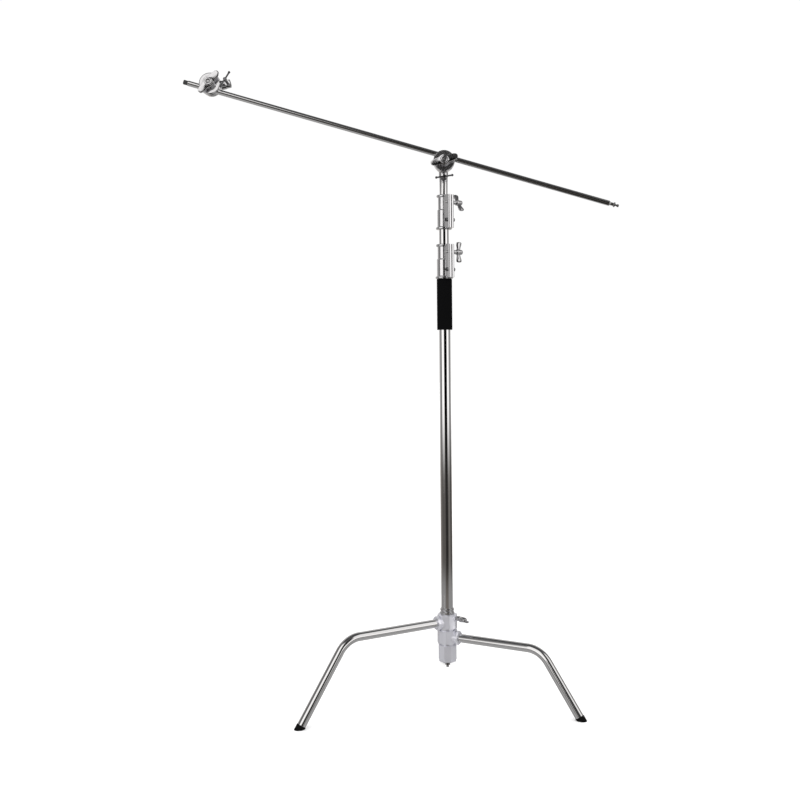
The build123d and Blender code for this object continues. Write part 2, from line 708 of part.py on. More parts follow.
def make_head(name, centre, out, rod_side, handle_angle, tommy_angle):
    """A grip head: receiver, washers, two grooved jaws, spring, bolt, wing handle and T-screw."""

    def face(distance, x_dir=boom_direction):
        return Plane(origin=centre + FRONT * distance, x_dir=x_dir, z_dir=FRONT)

    t_foot = centre + out * t_screw_reach
    t_axis = Plane(origin=t_foot, x_dir=in_front(tommy_angle), z_dir=FRONT)
    with BuildPart() as receiver:
        barrel_height = barrel_top + socket_mouth - barrel_rim_height
        post(across(centre - out * barrel_top, out, FRONT), barrel_diameter, barrel_height)
        chamfer(edges().filter_by(GeomType.CIRCLE), barrel_edge)
        post(across(centre, out, FRONT), barrel_rim_diameter, socket_mouth)
        rings = edges().filter_by(GeomType.CIRCLE)
        chamfer(rings.sort_by(lambda ring: (ring.center() - centre).dot(out))[-1], barrel_rim_edge)
        post(face(head_disc_back), head_disc_diameter, head_disc_front - head_disc_back)
        post(t_axis, t_boss_diameter, t_boss_height)
        mouth = across(centre + out * socket_mouth, out * -1, FRONT)
        post(mouth, stud_diameter + 2 * running_gap, socket_bore_depth, Mode.SUBTRACT)
        post(face(head_bolt_root), head_bolt_diameter, head_disc_front, Mode.SUBTRACT)
        post(t_axis, t_screw_diameter + 2 * running_gap, t_boss_height, Mode.SUBTRACT)
    keep(receiver, f"{name}_receiver")

    with BuildPart() as friction_washer:
        post(face(head_disc_front), head_disc_diameter - 2 * washer_inset, washer_thickness)
        post(face(head_disc_front), head_bolt_diameter + 2 * washer_room, washer_thickness, Mode.SUBTRACT)
    keep(friction_washer, f"{name}_friction_washer")

    bolt_bore = head_bolt_diameter + 2 * running_gap
    spring_outer = head_bolt_diameter + 2 * (spring_gap + spring_wire)
    spring_room = spring_outer + 2 * spring_gap
    for label, back, groove_face, depth_direction in (
        ("inner_jaw", washer_front, washer_front + jaw_thickness, FRONT * -1),
        ("outer_jaw", jaws_front - jaw_thickness, jaws_front - jaw_thickness, FRONT),
    ):
        with BuildPart() as jaw:
            post(face(back), jaw_diameter, jaw_thickness)
            chamfer(edges().filter_by(GeomType.CIRCLE), jaw_edge)
            cut_groove(face(groove_face), depth_direction, rod_side * groove_offset, boom_diameter)
            cut_groove(face(groove_face), depth_direction, -rod_side * groove_offset, small_rod_diameter)
            post(face(back), bolt_bore, jaw_thickness, Mode.SUBTRACT)
            pocket = groove_face if depth_direction == FRONT else groove_face - spring_depth
            post(face(pocket), spring_room, spring_depth, Mode.SUBTRACT)
        keep(jaw, f"{name}_{label}")

    spring_length = jaw_gap + 2 * spring_depth
    coil_radius = head_bolt_diameter / 2 + spring_gap + spring_wire / 2
    with BuildPart() as spring:
        pitch = (spring_length - spring_wire) / (spring_coils - 1)
        for turn in range(spring_coils):
            ring_plane = face(jaw_middle - spring_length / 2 + spring_wire / 2 + turn * pitch)
            with Locations(ring_plane):
                Torus(coil_radius, spring_wire / 2)
    keep(spring, f"{name}_spring")

    with BuildPart() as bolt:
        post(face(head_bolt_root), head_bolt_diameter, handle_front - head_bolt_short - head_bolt_root)
        chamfer(edges().filter_by(GeomType.CIRCLE), screw_edge)
    keep(bolt, f"{name}_bolt")

    with BuildPart() as thrust_washer:
        post(face(jaws_front), thrust_washer_diameter, thrust_washer_thickness)
        post(face(jaws_front), bolt_bore, thrust_washer_thickness, Mode.SUBTRACT)
    keep(thrust_washer, f"{name}_thrust_washer")

    with BuildPart() as handle:
        wing_plane = face(handle_foot + handle_neck_height, in_front(handle_angle))
        post(face(handle_foot + face_gap), handle_neck_diameter, handle_neck_height)
        with BuildSketch(wing_plane) as leaf:
            Ellipse(handle_span / 2, handle_width / 2 - handle_leaf_inset)
            Circle(handle_width / 2)
        extrude(leaf.sketch, amount=handle_wing_height)
        post(wing_plane, handle_neck_diameter, handle_wing_height + handle_nose_height)
        chamfer(edges().group_by(Axis.Y)[0], handle_nose_edge)
        post(face(handle_foot), bolt_bore, handle_front, Mode.SUBTRACT)
        nose = face(handle_front - handle_socket_depth)
        post(nose, handle_socket_diameter, handle_socket_depth, Mode.SUBTRACT)
    keep(handle, f"{name}_handle")

    with BuildPart() as t_screw:
        post(t_axis.offset(t_screw_tip), t_screw_diameter, t_head_start - t_screw_tip)
        post(t_axis.offset(t_head_start), t_head_diameter, t_head_end - t_head_start)
        chamfer(edges().filter_by(GeomType.CIRCLE).group_by(Axis.Y)[0], t_head_edge)
        cross_foot = t_foot + FRONT * tommy_height - t_axis.x_dir * t_head_diameter
        cross_hole = across(cross_foot, t_axis.x_dir, FRONT)
        post(cross_hole, tommy_diameter + 2 * running_gap, 2 * t_head_diameter, Mode.SUBTRACT)
    keep(t_screw, f"{name}_t_screw")

    bar_middle = t_foot + FRONT * tommy_height
    bar_side = Plane(origin=bar_middle, x_dir=t_axis.x_dir, z_dir=t_axis.x_dir.cross(FRONT))
    with BuildPart() as tommy_bar:
        with BuildSketch(bar_side) as section:
            Rectangle(tommy_length, tommy_diameter)
            with Locations((-tommy_length / 2, 0), (tommy_length / 2, 0)):
                Circle(tommy_ball_diameter / 2)
            with Locations((0, -tommy_ball_diameter)):
                Rectangle(2 * tommy_length, 2 * tommy_ball_diameter, mode=Mode.SUBTRACT)
        revolve(section.sketch, axis=Axis(bar_middle, t_axis.x_dir))
    keep(tommy_bar, f"{name}_tommy_bar")


mast_centre = Vector(0, 0, head_height)
boom_centre = mast_centre + FRONT * jaw_middle + boom_normal * groove_offset
arm_centre = mast_centre + boom_normal * 2 * groove_offset - boom_direction * arm_head_station
make_head("mast_head", mast_centre, UP * -1, 1, mast_handle_angle, mast_tommy_angle)
make_head("arm_head", arm_centre, in_front(arm_receiver_angle), -1, arm_handle_angle, arm_tommy_angle)

# ---- The boom -----------------------------------------------------------------------
left_end = across(boom_centre - boom_direction * boom_left, boom_direction, FRONT)
right_end = across(boom_centre + boom_direction * boom_right, boom_direction, FRONT)
with BuildPart() as boom_rod:
    post(left_end, boom_diameter, boom_left + boom_right)
    chamfer(edges().filter_by(GeomType.CIRCLE), boom_edge)
    post(left_end, boom_cap_spigot_diameter, boom_cap_spigot_length, Mode.SUBTRACT)
    right_hole = right_end.offset(-boom_cap_spigot_length)
    post(right_hole, boom_cap_spigot_diameter, boom_cap_spigot_length, Mode.SUBTRACT)
keep(boom_rod, "boom_rod")

with BuildPart() as boom_end_cap:
    post(left_end.offset(-boom_cap_length), boom_cap_diameter, boom_cap_length)
    chamfer(edges().filter_by(GeomType.CIRCLE), boom_cap_edge)
    post(left_end.offset(-boom_cap_root), boom_cap_spigot_diameter, boom_cap_spigot_length + boom_cap_root)
keep(boom_end_cap, "boom_end_cap")

with BuildPart() as boom_end_stud:
    neck = end_stud_neck_diameter / 2
    flange = end_stud_flange_diameter / 2
    waist = end_stud_waist_diameter / 2
    tip = end_stud_tip_diameter / 2
    flange_start = end_stud_neck_length
    flange_end = flange_start + end_stud_flange_length
    waist_end = flange_end + end_stud_waist_length
    stud_end = waist_end + end_stud_tip_length
    turned(
        right_end,
        [
            (0, -boom_cap_spigot_length),
            (boom_cap_spigot_diameter / 2, -boom_cap_spigot_length),
            (boom_cap_spigot_diameter / 2, 0),
            (boom_diameter / 2 - boom_edge, 0),
            (neck, end_stud_shoulder),
            (neck, flange_start),
            (flange, flange_start),
            (flange, flange_end),
            (waist, flange_end),
            (waist, waist_end),
            (tip, waist_end),
            (tip, stud_end - end_stud_edge),
            (tip - end_stud_edge, stud_end),
            (0, stud_end),
        ],
    )
keep(boom_end_stud, "boom_end_stud")
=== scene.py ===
# %% [markdown]
# # A studio C-stand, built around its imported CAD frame
# The stand is chromed steel tube, satin castings and a few black pieces of foam and rubber.
# The CAD model gives every place and size, so this script only makes the surfaces that are seen.
# Each step below takes one kind of piece, says what it is on the real stand, and makes it.

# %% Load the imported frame
import bpy
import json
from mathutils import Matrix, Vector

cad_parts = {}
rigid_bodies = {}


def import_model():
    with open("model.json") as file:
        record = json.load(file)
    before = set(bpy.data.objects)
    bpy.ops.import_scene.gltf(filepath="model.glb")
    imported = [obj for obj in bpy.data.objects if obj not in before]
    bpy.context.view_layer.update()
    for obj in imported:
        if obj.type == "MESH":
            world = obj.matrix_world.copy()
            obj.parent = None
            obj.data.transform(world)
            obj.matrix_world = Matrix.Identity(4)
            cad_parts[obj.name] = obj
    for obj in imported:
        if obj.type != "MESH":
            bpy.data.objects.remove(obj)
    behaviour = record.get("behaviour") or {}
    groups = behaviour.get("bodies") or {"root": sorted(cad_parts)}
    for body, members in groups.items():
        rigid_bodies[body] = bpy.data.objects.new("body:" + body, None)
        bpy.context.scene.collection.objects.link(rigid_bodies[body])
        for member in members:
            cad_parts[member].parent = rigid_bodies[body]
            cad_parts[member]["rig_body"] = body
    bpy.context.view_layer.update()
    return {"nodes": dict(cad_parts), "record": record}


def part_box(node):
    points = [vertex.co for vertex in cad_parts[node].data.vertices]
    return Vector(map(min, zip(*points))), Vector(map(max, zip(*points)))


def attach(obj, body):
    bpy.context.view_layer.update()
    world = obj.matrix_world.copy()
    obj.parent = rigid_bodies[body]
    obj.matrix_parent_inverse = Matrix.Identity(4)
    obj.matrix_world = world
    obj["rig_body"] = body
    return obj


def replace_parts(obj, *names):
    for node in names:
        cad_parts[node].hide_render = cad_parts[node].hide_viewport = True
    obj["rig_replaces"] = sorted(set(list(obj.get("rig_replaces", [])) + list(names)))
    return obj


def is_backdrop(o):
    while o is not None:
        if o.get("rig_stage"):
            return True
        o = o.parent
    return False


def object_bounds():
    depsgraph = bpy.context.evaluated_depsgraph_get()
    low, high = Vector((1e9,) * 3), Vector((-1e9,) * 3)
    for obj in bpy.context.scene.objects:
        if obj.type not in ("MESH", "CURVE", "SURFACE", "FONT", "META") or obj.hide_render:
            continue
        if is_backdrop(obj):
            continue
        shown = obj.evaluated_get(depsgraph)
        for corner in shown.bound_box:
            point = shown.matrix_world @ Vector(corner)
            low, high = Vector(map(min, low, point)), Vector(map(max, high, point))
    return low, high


for leftover in list(bpy.data.objects):
    bpy.data.objects.remove(leftover)

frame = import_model()

import json
import math
import bmesh
from mathutils import Matrix, Vector

# %% [markdown]
# ## Names that the pieces share
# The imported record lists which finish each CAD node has, and the frame says which body each one is on.
# Both are kept as dictionaries here, so that a piece finds its finish and its body by its node's name.

# %% Look up slots and bodies
SLOT_OF = {part["node"]: part["material_slot"] for part in frame["record"]["subparts"]}
BODY_OF = {node: shown["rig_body"] for node, shown in frame["nodes"].items()}
MM = 0.001
UP = Vector((0, 0, 1))
FRONT = Vector((0, -1, 0))
print("slots in use:", sorted(set(SLOT_OF.values())))

# %% [markdown]
# ## Finishes
# Every finish is a Principled BSDF with its own noise.  One noise moves the roughness a little, as
# hands and polishing do, and another one bends the surface by a few hundredths of a millimetre.
# All of them read Object coordinates: each piece's object sits at the origin, so those coordinates
# are metres on the stand itself and the pattern moves with the piece.

# %% A helper for building node trees
def add_node(tree, kind, links=(), **values):
    """Adds a node; values set its inputs by name, links is (input name, socket) pairs."""
    made = tree.nodes.new(kind)
    for name, value in values.items():
        if name.startswith("set_"):
            setattr(made, name[4:], value)
        else:
            made.inputs[name.replace("_", " ")].default_value = value
    for name, socket in links:
        tree.links.new(socket, made.inputs[name])
    return made


def noise_at(tree, scale, detail=4.0, stretch=(1, 1, 1)):
    """A noise in Object coordinates; its scale is in waves for each metre."""
    place = add_node(tree, "ShaderNodeTexCoord")
    turned = add_node(tree, "ShaderNodeMapping", links=[("Vector", place.outputs["Object"])])
    turned.inputs["Scale"].default_value = stretch
    link = [("Vector", turned.outputs["Vector"])]
    return add_node(tree, "ShaderNodeTexNoise", links=link, Scale=scale, Detail=detail)


def remap(tree, socket, low, high):
    """Spreads a 0 to 1 noise over low to high."""
    spread = add_node(tree, "ShaderNodeMapRange", links=[("Value", socket)])
    spread.inputs["From Min"].default_value = 0.3
    spread.inputs["From Max"].default_value = 0.7
    spread.inputs["To Min"].default_value = low
    spread.inputs["To Max"].default_value = high
    return spread.outputs["Result"]


# %% The one function behind every finish
def make_finish(name, color, metallic, roughness, grain, grain_depth, smudge=25.0, tint=0.04, stretch=(1, 1, 1)):
    """roughness is (low, high); grain is in waves for each metre and grain_depth in metres."""
    material = bpy.data.materials.new(name)
    material.use_nodes = True
    tree = material.node_tree
    shader = tree.nodes["Principled BSDF"]
    shader.inputs["Metallic"].default_value = metallic
    smudges = noise_at(tree, smudge, 6.0)
    tree.links.new(remap(tree, smudges.outputs["Fac"], *roughness), shader.inputs["Roughness"])
    clouds = noise_at(tree, smudge * 0.4, 3.0)
    blend = add_node(tree, "ShaderNodeMix", set_data_type="RGBA")
    tree.links.new(clouds.outputs["Fac"], blend.inputs[0])
    blend.inputs[6].default_value = (*[c * (1 - tint) for c in color], 1)
    blend.inputs[7].default_value = (*[min(1, c * (1 + tint)) for c in color], 1)
    tree.links.new(blend.outputs[2], shader.inputs["Base Color"])
    fine = noise_at(tree, grain, 3.0, stretch)
    bump = add_node(tree, "ShaderNodeBump", links=[("Height", fine.outputs["Fac"])], Distance=grain_depth)
    bump.inputs["Strength"].default_value = 1.0
    tree.links.new(bump.outputs["Normal"], shader.inputs["Normal"])
    return material


# %% [markdown]
# Chrome plate on drawn tube is almost a mirror, and chrome plate on a casting keeps the casting's
# skin.  Screws are plain turned steel.  Nothing here is painted.

# %% Metal finishes
FINISHES = {
    "bright_chrome": make_finish("bright_chrome", (0.86, 0.86, 0.87), 1.0, (0.035, 0.075), 60, 0.000004),
    "satin_chrome": make_finish("satin_chrome", (0.8, 0.8, 0.86), 0.66, (0.14, 0.24), 700, 0.00004, smudge=60),
    "steel_fasteners": make_finish("steel_fasteners", (0.6, 0.6, 0.61), 1.0, (0.16, 0.3), 2500, 0.00002, smudge=150),
}
HEAD_CHROME = make_finish("head_chrome", (0.8, 0.8, 0.82), 1.0, (0.09, 0.17), 500, 0.000015, smudge=80)
COLLAR_CHROME = make_finish("collar_chrome", (0.8, 0.8, 0.82), 1.0, (0.08, 0.15), 350, 0.00003, smudge=60)
KNOB_CHROME = make_finish("knob_chrome", (0.66, 0.66, 0.68), 1.0, (0.05, 0.1), 300, 0.00002, smudge=60)
DARK_STEEL = make_finish("dark_steel", (0.2, 0.2, 0.21), 1.0, (0.14, 0.24), 2500, 0.00001, smudge=120)
print("metal finishes:", len(FINISHES) + 4)

# %% [markdown]
# The foam grip is closed-cell foam, which is full of tiny pits, so its bump comes from Voronoi
# cells instead of a plain noise.  Rubber, nylon and fibre need only the common function.

# %% Soft and moulded finishes
FINISHES["black_foam"] = make_finish("black_foam", (0.003, 0.003, 0.0032), 0.0, (0.86, 0.98), 900, 0.00012)
FINISHES["black_rubber"] = make_finish("black_rubber", (0.004, 0.004, 0.004), 0.0, (0.42, 0.6), 600, 0.0001)
FINISHES["black_plastic"] = make_finish("black_plastic", (0.03, 0.03, 0.03), 0.0, (0.35, 0.5), 900, 0.00005)
FINISHES["white_nylon"] = make_finish("white_nylon", (0.8, 0.79, 0.75), 0.0, (0.35, 0.5), 700, 0.00003)
FINISHES["friction_fibre"] = make_finish("friction_fibre", (0.1, 0.09, 0.08), 0.0, (0.7, 0.9), 1500, 0.00008)


def dull(material, level):
    """Lowers how much of its surroundings a soft surface mirrors."""
    shader = next(n for n in material.node_tree.nodes if n.type == "BSDF_PRINCIPLED")
    shader.inputs["Specular IOR Level"].default_value = level


def add_foam_cells(material, cells_per_metre, depth):
    """Pits the foam: Voronoi cells bump the surface before the noise does."""
    tree = material.node_tree
    place = add_node(tree, "ShaderNodeTexCoord")
    cells = add_node(tree, "ShaderNodeTexVoronoi", links=[("Vector", place.outputs["Object"])], Scale=cells_per_metre)
    pits = add_node(tree, "ShaderNodeBump", links=[("Height", cells.outputs["Distance"])], Distance=depth)
    noise_bump = next(n for n in tree.nodes if n.type == "BUMP" and n != pits)
    tree.links.new(pits.outputs["Normal"], noise_bump.inputs["Normal"])


add_foam_cells(FINISHES["black_foam"], 1100, 0.00025)
dull(FINISHES["black_foam"], 0.03)
dull(FINISHES["black_rubber"], 0.06)
dull(FINISHES["black_plastic"], 0.3)
print("finishes:", sorted(FINISHES))

# %% [markdown]
# ## Making and finishing a piece
# Every piece ends the same way: its faces are smooth up to a chosen angle, it gets its finish, it
# rides on its CAD body, and it says which CAD node it stands for.

# %% Turn points and faces into an object
def object_from(name, points, faces):
    """A mesh object at the origin, with its faces turned outwards."""
    mesh = bpy.data.meshes.new(name)
    mesh.from_pydata([tuple(p) for p in points], [], faces)
    made = bpy.data.objects.new(name, mesh)
    bpy.context.scene.collection.objects.link(made)
    tidy = bmesh.new()
    tidy.from_mesh(mesh)
    bmesh.ops.remove_doubles(tidy, verts=tidy.verts, dist=1e-7)
    bmesh.ops.recalc_face_normals(tidy, faces=tidy.faces)
    tidy.to_mesh(mesh)
    tidy.free()
    return made


# %% Smooth it, finish it, and fix it to its body
def smooth(piece, angle=38.0):
    """Smooth shading, with an edge kept sharp where two faces meet at more than the angle."""
    piece.data.polygons.foreach_set("use_smooth", [True] * len(piece.data.polygons))
    piece.data.set_sharp_from_angle(angle=math.radians(angle))


def fit(piece, nodes, finish=None, angle=38.0, body=None):
    """Gives a piece its finish, its body and the CAD nodes that it stands for."""
    smooth(piece, angle)
    first = nodes[0]
    piece.data.materials.clear()
    piece.data.materials.append(finish or FINISHES[SLOT_OF[first]])
    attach(piece, body or BODY_OF[first])
    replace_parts(piece, *nodes)
    return piece


# %% [markdown]
# ## Turned pieces
# Most of the stand is round: tubes, the rod, screws and washers.  Such a piece is an outline of
# radius and height that is turned about an axis.  Real corners are never perfectly sharp, so the
# outline's corners are rounded first, with a short straight run kept on both sides of each arc.
# That run holds the long faces' shading flat, which a chrome surface shows at once.

# %% Round the corners of an outline
def softened(outline, radius, closed, steps=4):
    """The outline with arcs of about that radius at its corners."""
    rounded = []
    count = len(outline)
    for index, corner in enumerate(outline):
        if not closed and index in (0, count - 1):
            rounded.append(corner)
            continue
        here = Vector((*corner, 0))
        before = Vector((*outline[index - 1], 0)) - here
        after = Vector((*outline[(index + 1) % count], 0)) - here
        cut = min(radius, 0.4 * before.length, 0.4 * after.length)
        if before.length < 1e-6 or after.length < 1e-6 or cut < 1e-5:
            rounded.append(corner)
            continue
        start, end = here + before.normalized() * cut, here + after.normalized() * cut
        hold_start, hold_end = start + before.normalized() * cut * 0.3, end + after.normalized() * cut * 0.3
        rounded.append(tuple(hold_start[:2]))
        for step in range(steps + 1):
            t = step / steps
            point = start * (1 - t) ** 2 + here * 2 * t * (1 - t) + end * t * t
            rounded.append(tuple(point[:2]))
        rounded.append(tuple(hold_end[:2]))
    return rounded


# %% Turn an outline about an axis
def side_of(direction):
    """A steady direction across an axis, so that flats and seams fall in the same place."""
    hint = UP if abs(direction.dot(UP)) < 0.9 else Vector((1, 0, 0))
    return (hint - direction * direction.dot(hint)).normalized()


def turn(name, origin, direction, outline, corner=0.0006, sides=96, x_dir=None, shape=None):
    """Outline points are (radius, height); a point on the axis becomes a pole.
    shape, if given, is a function of (point index, angle) that returns (radius, height)."""
    direction = Vector(direction).normalized()
    x_dir = (x_dir or side_of(direction)).normalized()
    y_dir = direction.cross(x_dir)
    closed = outline[0][0] > 1e-9
    ring = softened(outline, corner, closed) if corner else list(outline)
    points, rows = [], []
    for index, (radius, height) in enumerate(ring):
        if radius < 1e-9:
            rows.append([len(points)])
            points.append(origin + direction * height)
            continue
        rows.append(list(range(len(points), len(points) + sides)))
        for side in range(sides):
            angle = 2 * math.pi * side / sides
            r, h = shape(index, angle, radius, height) if shape else (radius, height)
            points.append(origin + direction * h + x_dir * r * math.cos(angle) + y_dir * r * math.sin(angle))
    pairs = list(zip(rows, rows[1:])) + ([(rows[-1], rows[0])] if closed else [])
    faces = []
    for low, high in pairs:
        for side in range(sides):
            step = (side + 1) % sides
            if len(low) == 1:
                faces.append((low[0], high[side], high[step]))
            elif len(high) == 1:
                faces.append((low[side], low[step], high[0]))
            else:
                faces.append((low[side], low[step], high[step], high[side]))
    return object_from(name, points, faces)


# %% [markdown]
# ## The column's tubes
# Three drawn tubes slide inside each other.  Each is a wall turned about the column's axis; the
# frame's boxes give its height and its radius, and the wall is 1.8 mm as on the CAD tubes.

# %% Make the three tubes
COLUMN_WALL = 1.8 * MM
for node in ("base_tube", "middle_tube", "top_tube"):
    low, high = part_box(node)
    outer = high.x
    wall = [
        (outer - COLUMN_WALL, low.z),
        (outer, low.z),
        (outer, high.z),
        (outer - COLUMN_WALL, high.z),
    ]
    tube = turn(f"polished_{node}", Vector((0, 0, 0)), UP, wall, corner=0.4 * MM, sides=160)
    fit(tube, [node])
    print(node, "diameter", round(2000 * outer, 1), "mm, length", round(1000 * (high.z - low.z)), "mm")

# %% [markdown]
# ## The foam grip
# A black foam sleeve is pushed over the base tube, where hands carry the stand.  Its ends are cut
# square and then rounded by use, and its skin has slight waves, so the sleeve is turned with a
# wavering outline.

# %% Turn the foam sleeve
grip_low, grip_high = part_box("grip_sleeve")
grip_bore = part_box("base_tube")[1].x
GRIP_WAVE = 0.15 * MM
GRIP_WAVE_STEP = 2.4
GRIP_ROWS = 24
GRIP_END = 2.2 * MM
grip_length = grip_high.z - grip_low.z
grip_side = []
for row in range(GRIP_ROWS + 1):
    dip = GRIP_WAVE * (1 + math.sin(GRIP_WAVE_STEP * row)) / 2
    grip_side.append((grip_high.x - dip, grip_low.z + grip_length * row / GRIP_ROWS))
grip_wall = [(grip_bore, grip_low.z), *grip_side, (grip_bore, grip_high.z)]
grip = turn("foam_grip", Vector((0, 0, 0)), UP, grip_wall, corner=GRIP_END)
fit(grip, ["grip_sleeve"], angle=60)
print("grip length", round(1000 * grip_length, 1), "mm")

# %% [markdown]
# ## The legs
# Each leg is one tube, bent once at its knee.  A ring of points is carried along the route of the
# tube's middle, outside from the casting to the foot and then inside back again, so the wall closes
# on itself.  The route is a straight run, an arc and a straight run.

# %% The route of a bent leg
LEG_RADIUS = 12.7 * MM
LEG_WALL = 2.0 * MM
BEND_RADIUS = 75.0 * MM
LEG_SLOPE = math.radians(56.6)
LEG_START = 20.5 * MM
FOOT_SOLE = 2.5 * MM


def leg_route(reach, height):
    """(distance from the column, height, heading angle) along the middle of a leg."""
    turn_length = BEND_RADIUS * math.tan(LEG_SLOPE / 2)
    end_height = FOOT_SOLE + LEG_RADIUS * math.cos(LEG_SLOPE)
    end_reach = reach + (height - end_height) / math.tan(LEG_SLOPE)
    route = [(LEG_START, height, 0.0), (LEG_START + 0.01, height, 0.0)]
    steps = 28
    for step in range(steps + 1):
        angle = LEG_SLOPE * step / steps
        along = reach - turn_length + BEND_RADIUS * math.sin(angle)
        drop = BEND_RADIUS * (1 - math.cos(angle))
        route.append((along, height - drop, angle))
    route.append((end_reach, end_height, LEG_SLOPE))
    return route


# %% Carry a ring along the route
def make_leg(node, outward, reach, height, sides=64):
    """The leg's tube as one closed wall."""
    sideways = UP.cross(outward)
    route = leg_route(reach, height)
    rows = [(stop, LEG_RADIUS) for stop in route] + [(stop, LEG_RADIUS - LEG_WALL) for stop in reversed(route)]
    points, faces = [], []
    for (along, level, angle), radius in rows:
        middle = outward * along + UP * level
        over = outward * math.sin(angle) + UP * math.cos(angle)
        for side in range(sides):
            a = 2 * math.pi * side / sides
            points.append(middle + over * radius * math.cos(a) + sideways * radius * math.sin(a))
    for row in range(len(rows)):
        following = (row + 1) % len(rows)
        for side in range(sides):
            step = (side + 1) % sides
            faces.append((row * sides + side, row * sides + step, following * sides + step, following * sides + side))
    return object_from(f"bent_{node}", points, faces)


# %% Make the three legs
LEG_AZIMUTHS = {"lower": 88.0, "middle": 330.8, "upper": 210.8}
KNEE_REACH = 257.0 * MM
KNEE_STEP = 43.4 * MM
for count, (which, azimuth) in enumerate(LEG_AZIMUTHS.items()):
    node = f"{which}_leg_tube"
    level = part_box(node)[1].z - LEG_RADIUS
    outward = Vector((math.cos(math.radians(azimuth)), math.sin(math.radians(azimuth)), 0))
    leg = make_leg(node, outward, KNEE_REACH + count * KNEE_STEP, level)
    fit(leg, [node])
    print(node, "knee at", round(1000 * (KNEE_REACH + count * KNEE_STEP)), "mm, height", round(1000 * level, 1), "mm")

# %% [markdown]
# ## Castings and other shaped pieces
# The leg castings, the clamps and the jaws already have their shape in the CAD model.  A copy of
# each mesh is merged, its flat areas are joined into whole faces, and a bevel then breaks every
# edge by part of a millimetre.  Those small rounded edges catch the light, which is most of what
# makes a casting look cast.

# %% Copy a CAD shape and break its edges
def broken_edges(node, width, finish=None, segments=3):
    """A copy of a CAD node with its edges rounded by that width, in metres."""
    mesh = frame["nodes"][node].data.copy()
    made = bpy.data.objects.new(f"{node}_finished", mesh)
    bpy.context.scene.collection.objects.link(made)
    work = bmesh.new()
    work.from_mesh(mesh)
    bmesh.ops.remove_doubles(work, verts=work.verts, dist=2e-6)
    bmesh.ops.dissolve_degenerate(work, edges=work.edges, dist=2e-6)
    bmesh.ops.dissolve_limit(work, angle_limit=math.radians(0.6), verts=work.verts, edges=work.edges)
    bmesh.ops.recalc_face_normals(work, faces=work.faces)
    work.to_mesh(mesh)
    work.free()
    if width:
        smooth(made, 25)
        bevel = made.modifiers.new("edges", "BEVEL")
        bevel.width = width
        bevel.segments = segments
        bevel.limit_method = "ANGLE"
        bevel.angle_limit = math.radians(32)
        bevel.use_clamp_overlap = True
        bevel.miter_outer = "MITER_ARC"
        weights = made.modifiers.new("shading", "WEIGHTED_NORMAL")
        weights.keep_sharp = True
    fit(made, [node], finish, angle=35)
    return made


# %% The leg castings and what goes with them
CASTING_EDGE = 0.7 * MM
for node in ("lower_leg_casting", "middle_leg_casting", "upper_leg_casting", "base_end_cap"):
    broken_edges(node, CASTING_EDGE)
for node in ("lower_leg_pin", "middle_leg_pin", "upper_leg_pin", "leg_snap_ring", "base_end_nut"):
    broken_edges(node, 0.2 * MM)
broken_edges("neck_collar", 0.5 * MM, COLLAR_CHROME)
print("castings finished: 4, small steel pieces: 5")

# %% The riser collars
for which in ("lower", "upper"):
    broken_edges(f"{which}_collar_casting", 0.8 * MM, COLLAR_CHROME)
    broken_edges(f"{which}_collar_liner", 0.2 * MM)
for node in ("middle_tube_plug", "top_tube_plug"):
    broken_edges(node, 0.4 * MM)
print("collars finished: 2")

# %% [markdown]
# ## Rubber feet
# A foot is a rubber plug in the leg's end, ground flat where it stands.  It is soft, so its edges
# are rounder than the castings' edges.

# %% The three feet
for which in LEG_AZIMUTHS:
    broken_edges(f"{which}_leg_foot", 1.2 * MM)

# %% [markdown]
# ## Threads and springs grown with Geometry Nodes
# A thread and a spring are both a small circle carried along a helix.  One tree makes both, and its
# named inputs give the helix's radius, the wire's radius, the length and the number of turns.

# %% Build the coil tree
def coil_tree():
    """Geometry Nodes: a wire along a helix that climbs the Z axis."""
    tree = bpy.data.node_groups.new("coil_of_wire", "GeometryNodeTree")
    tree.interface.new_socket("Geometry", in_out="OUTPUT", socket_type="NodeSocketGeometry")
    for label in ("Coil Radius", "Wire Radius", "Length", "Turns"):
        tree.interface.new_socket(label, in_out="INPUT", socket_type="NodeSocketFloat")
    tree.interface.new_socket("Finish", in_out="INPUT", socket_type="NodeSocketMaterial")
    inputs = tree.nodes.new("NodeGroupInput").outputs
    helix = add_node(tree, "GeometryNodeCurveSpiral", links=[
        ("Rotations", inputs["Turns"]),
        ("Start Radius", inputs["Coil Radius"]),
        ("End Radius", inputs["Coil Radius"]),
        ("Height", inputs["Length"]),
    ], Resolution=32)
    radius = [("Radius", inputs["Wire Radius"])]
    section = add_node(tree, "GeometryNodeCurvePrimitiveCircle", links=radius, Resolution=10)
    wire = add_node(tree, "GeometryNodeCurveToMesh", links=[
        ("Curve", helix.outputs["Curve"]),
        ("Profile Curve", section.outputs["Curve"]),
    ])
    wire.inputs["Fill Caps"].default_value = True
    real = add_node(tree, "GeometryNodeRealizeInstances", links=[("Geometry", wire.outputs["Mesh"])])
    painted = add_node(tree, "GeometryNodeSetMaterial", links=[
        ("Geometry", real.outputs["Geometry"]),
        ("Material", inputs["Finish"]),
    ])
    out = tree.nodes.new("NodeGroupOutput")
    tree.links.new(painted.outputs["Geometry"], out.inputs["Geometry"])
    return tree


COIL = coil_tree()
print("coil tree inputs:", [item.name for item in COIL.interface.items_tree if item.in_out == "INPUT"])

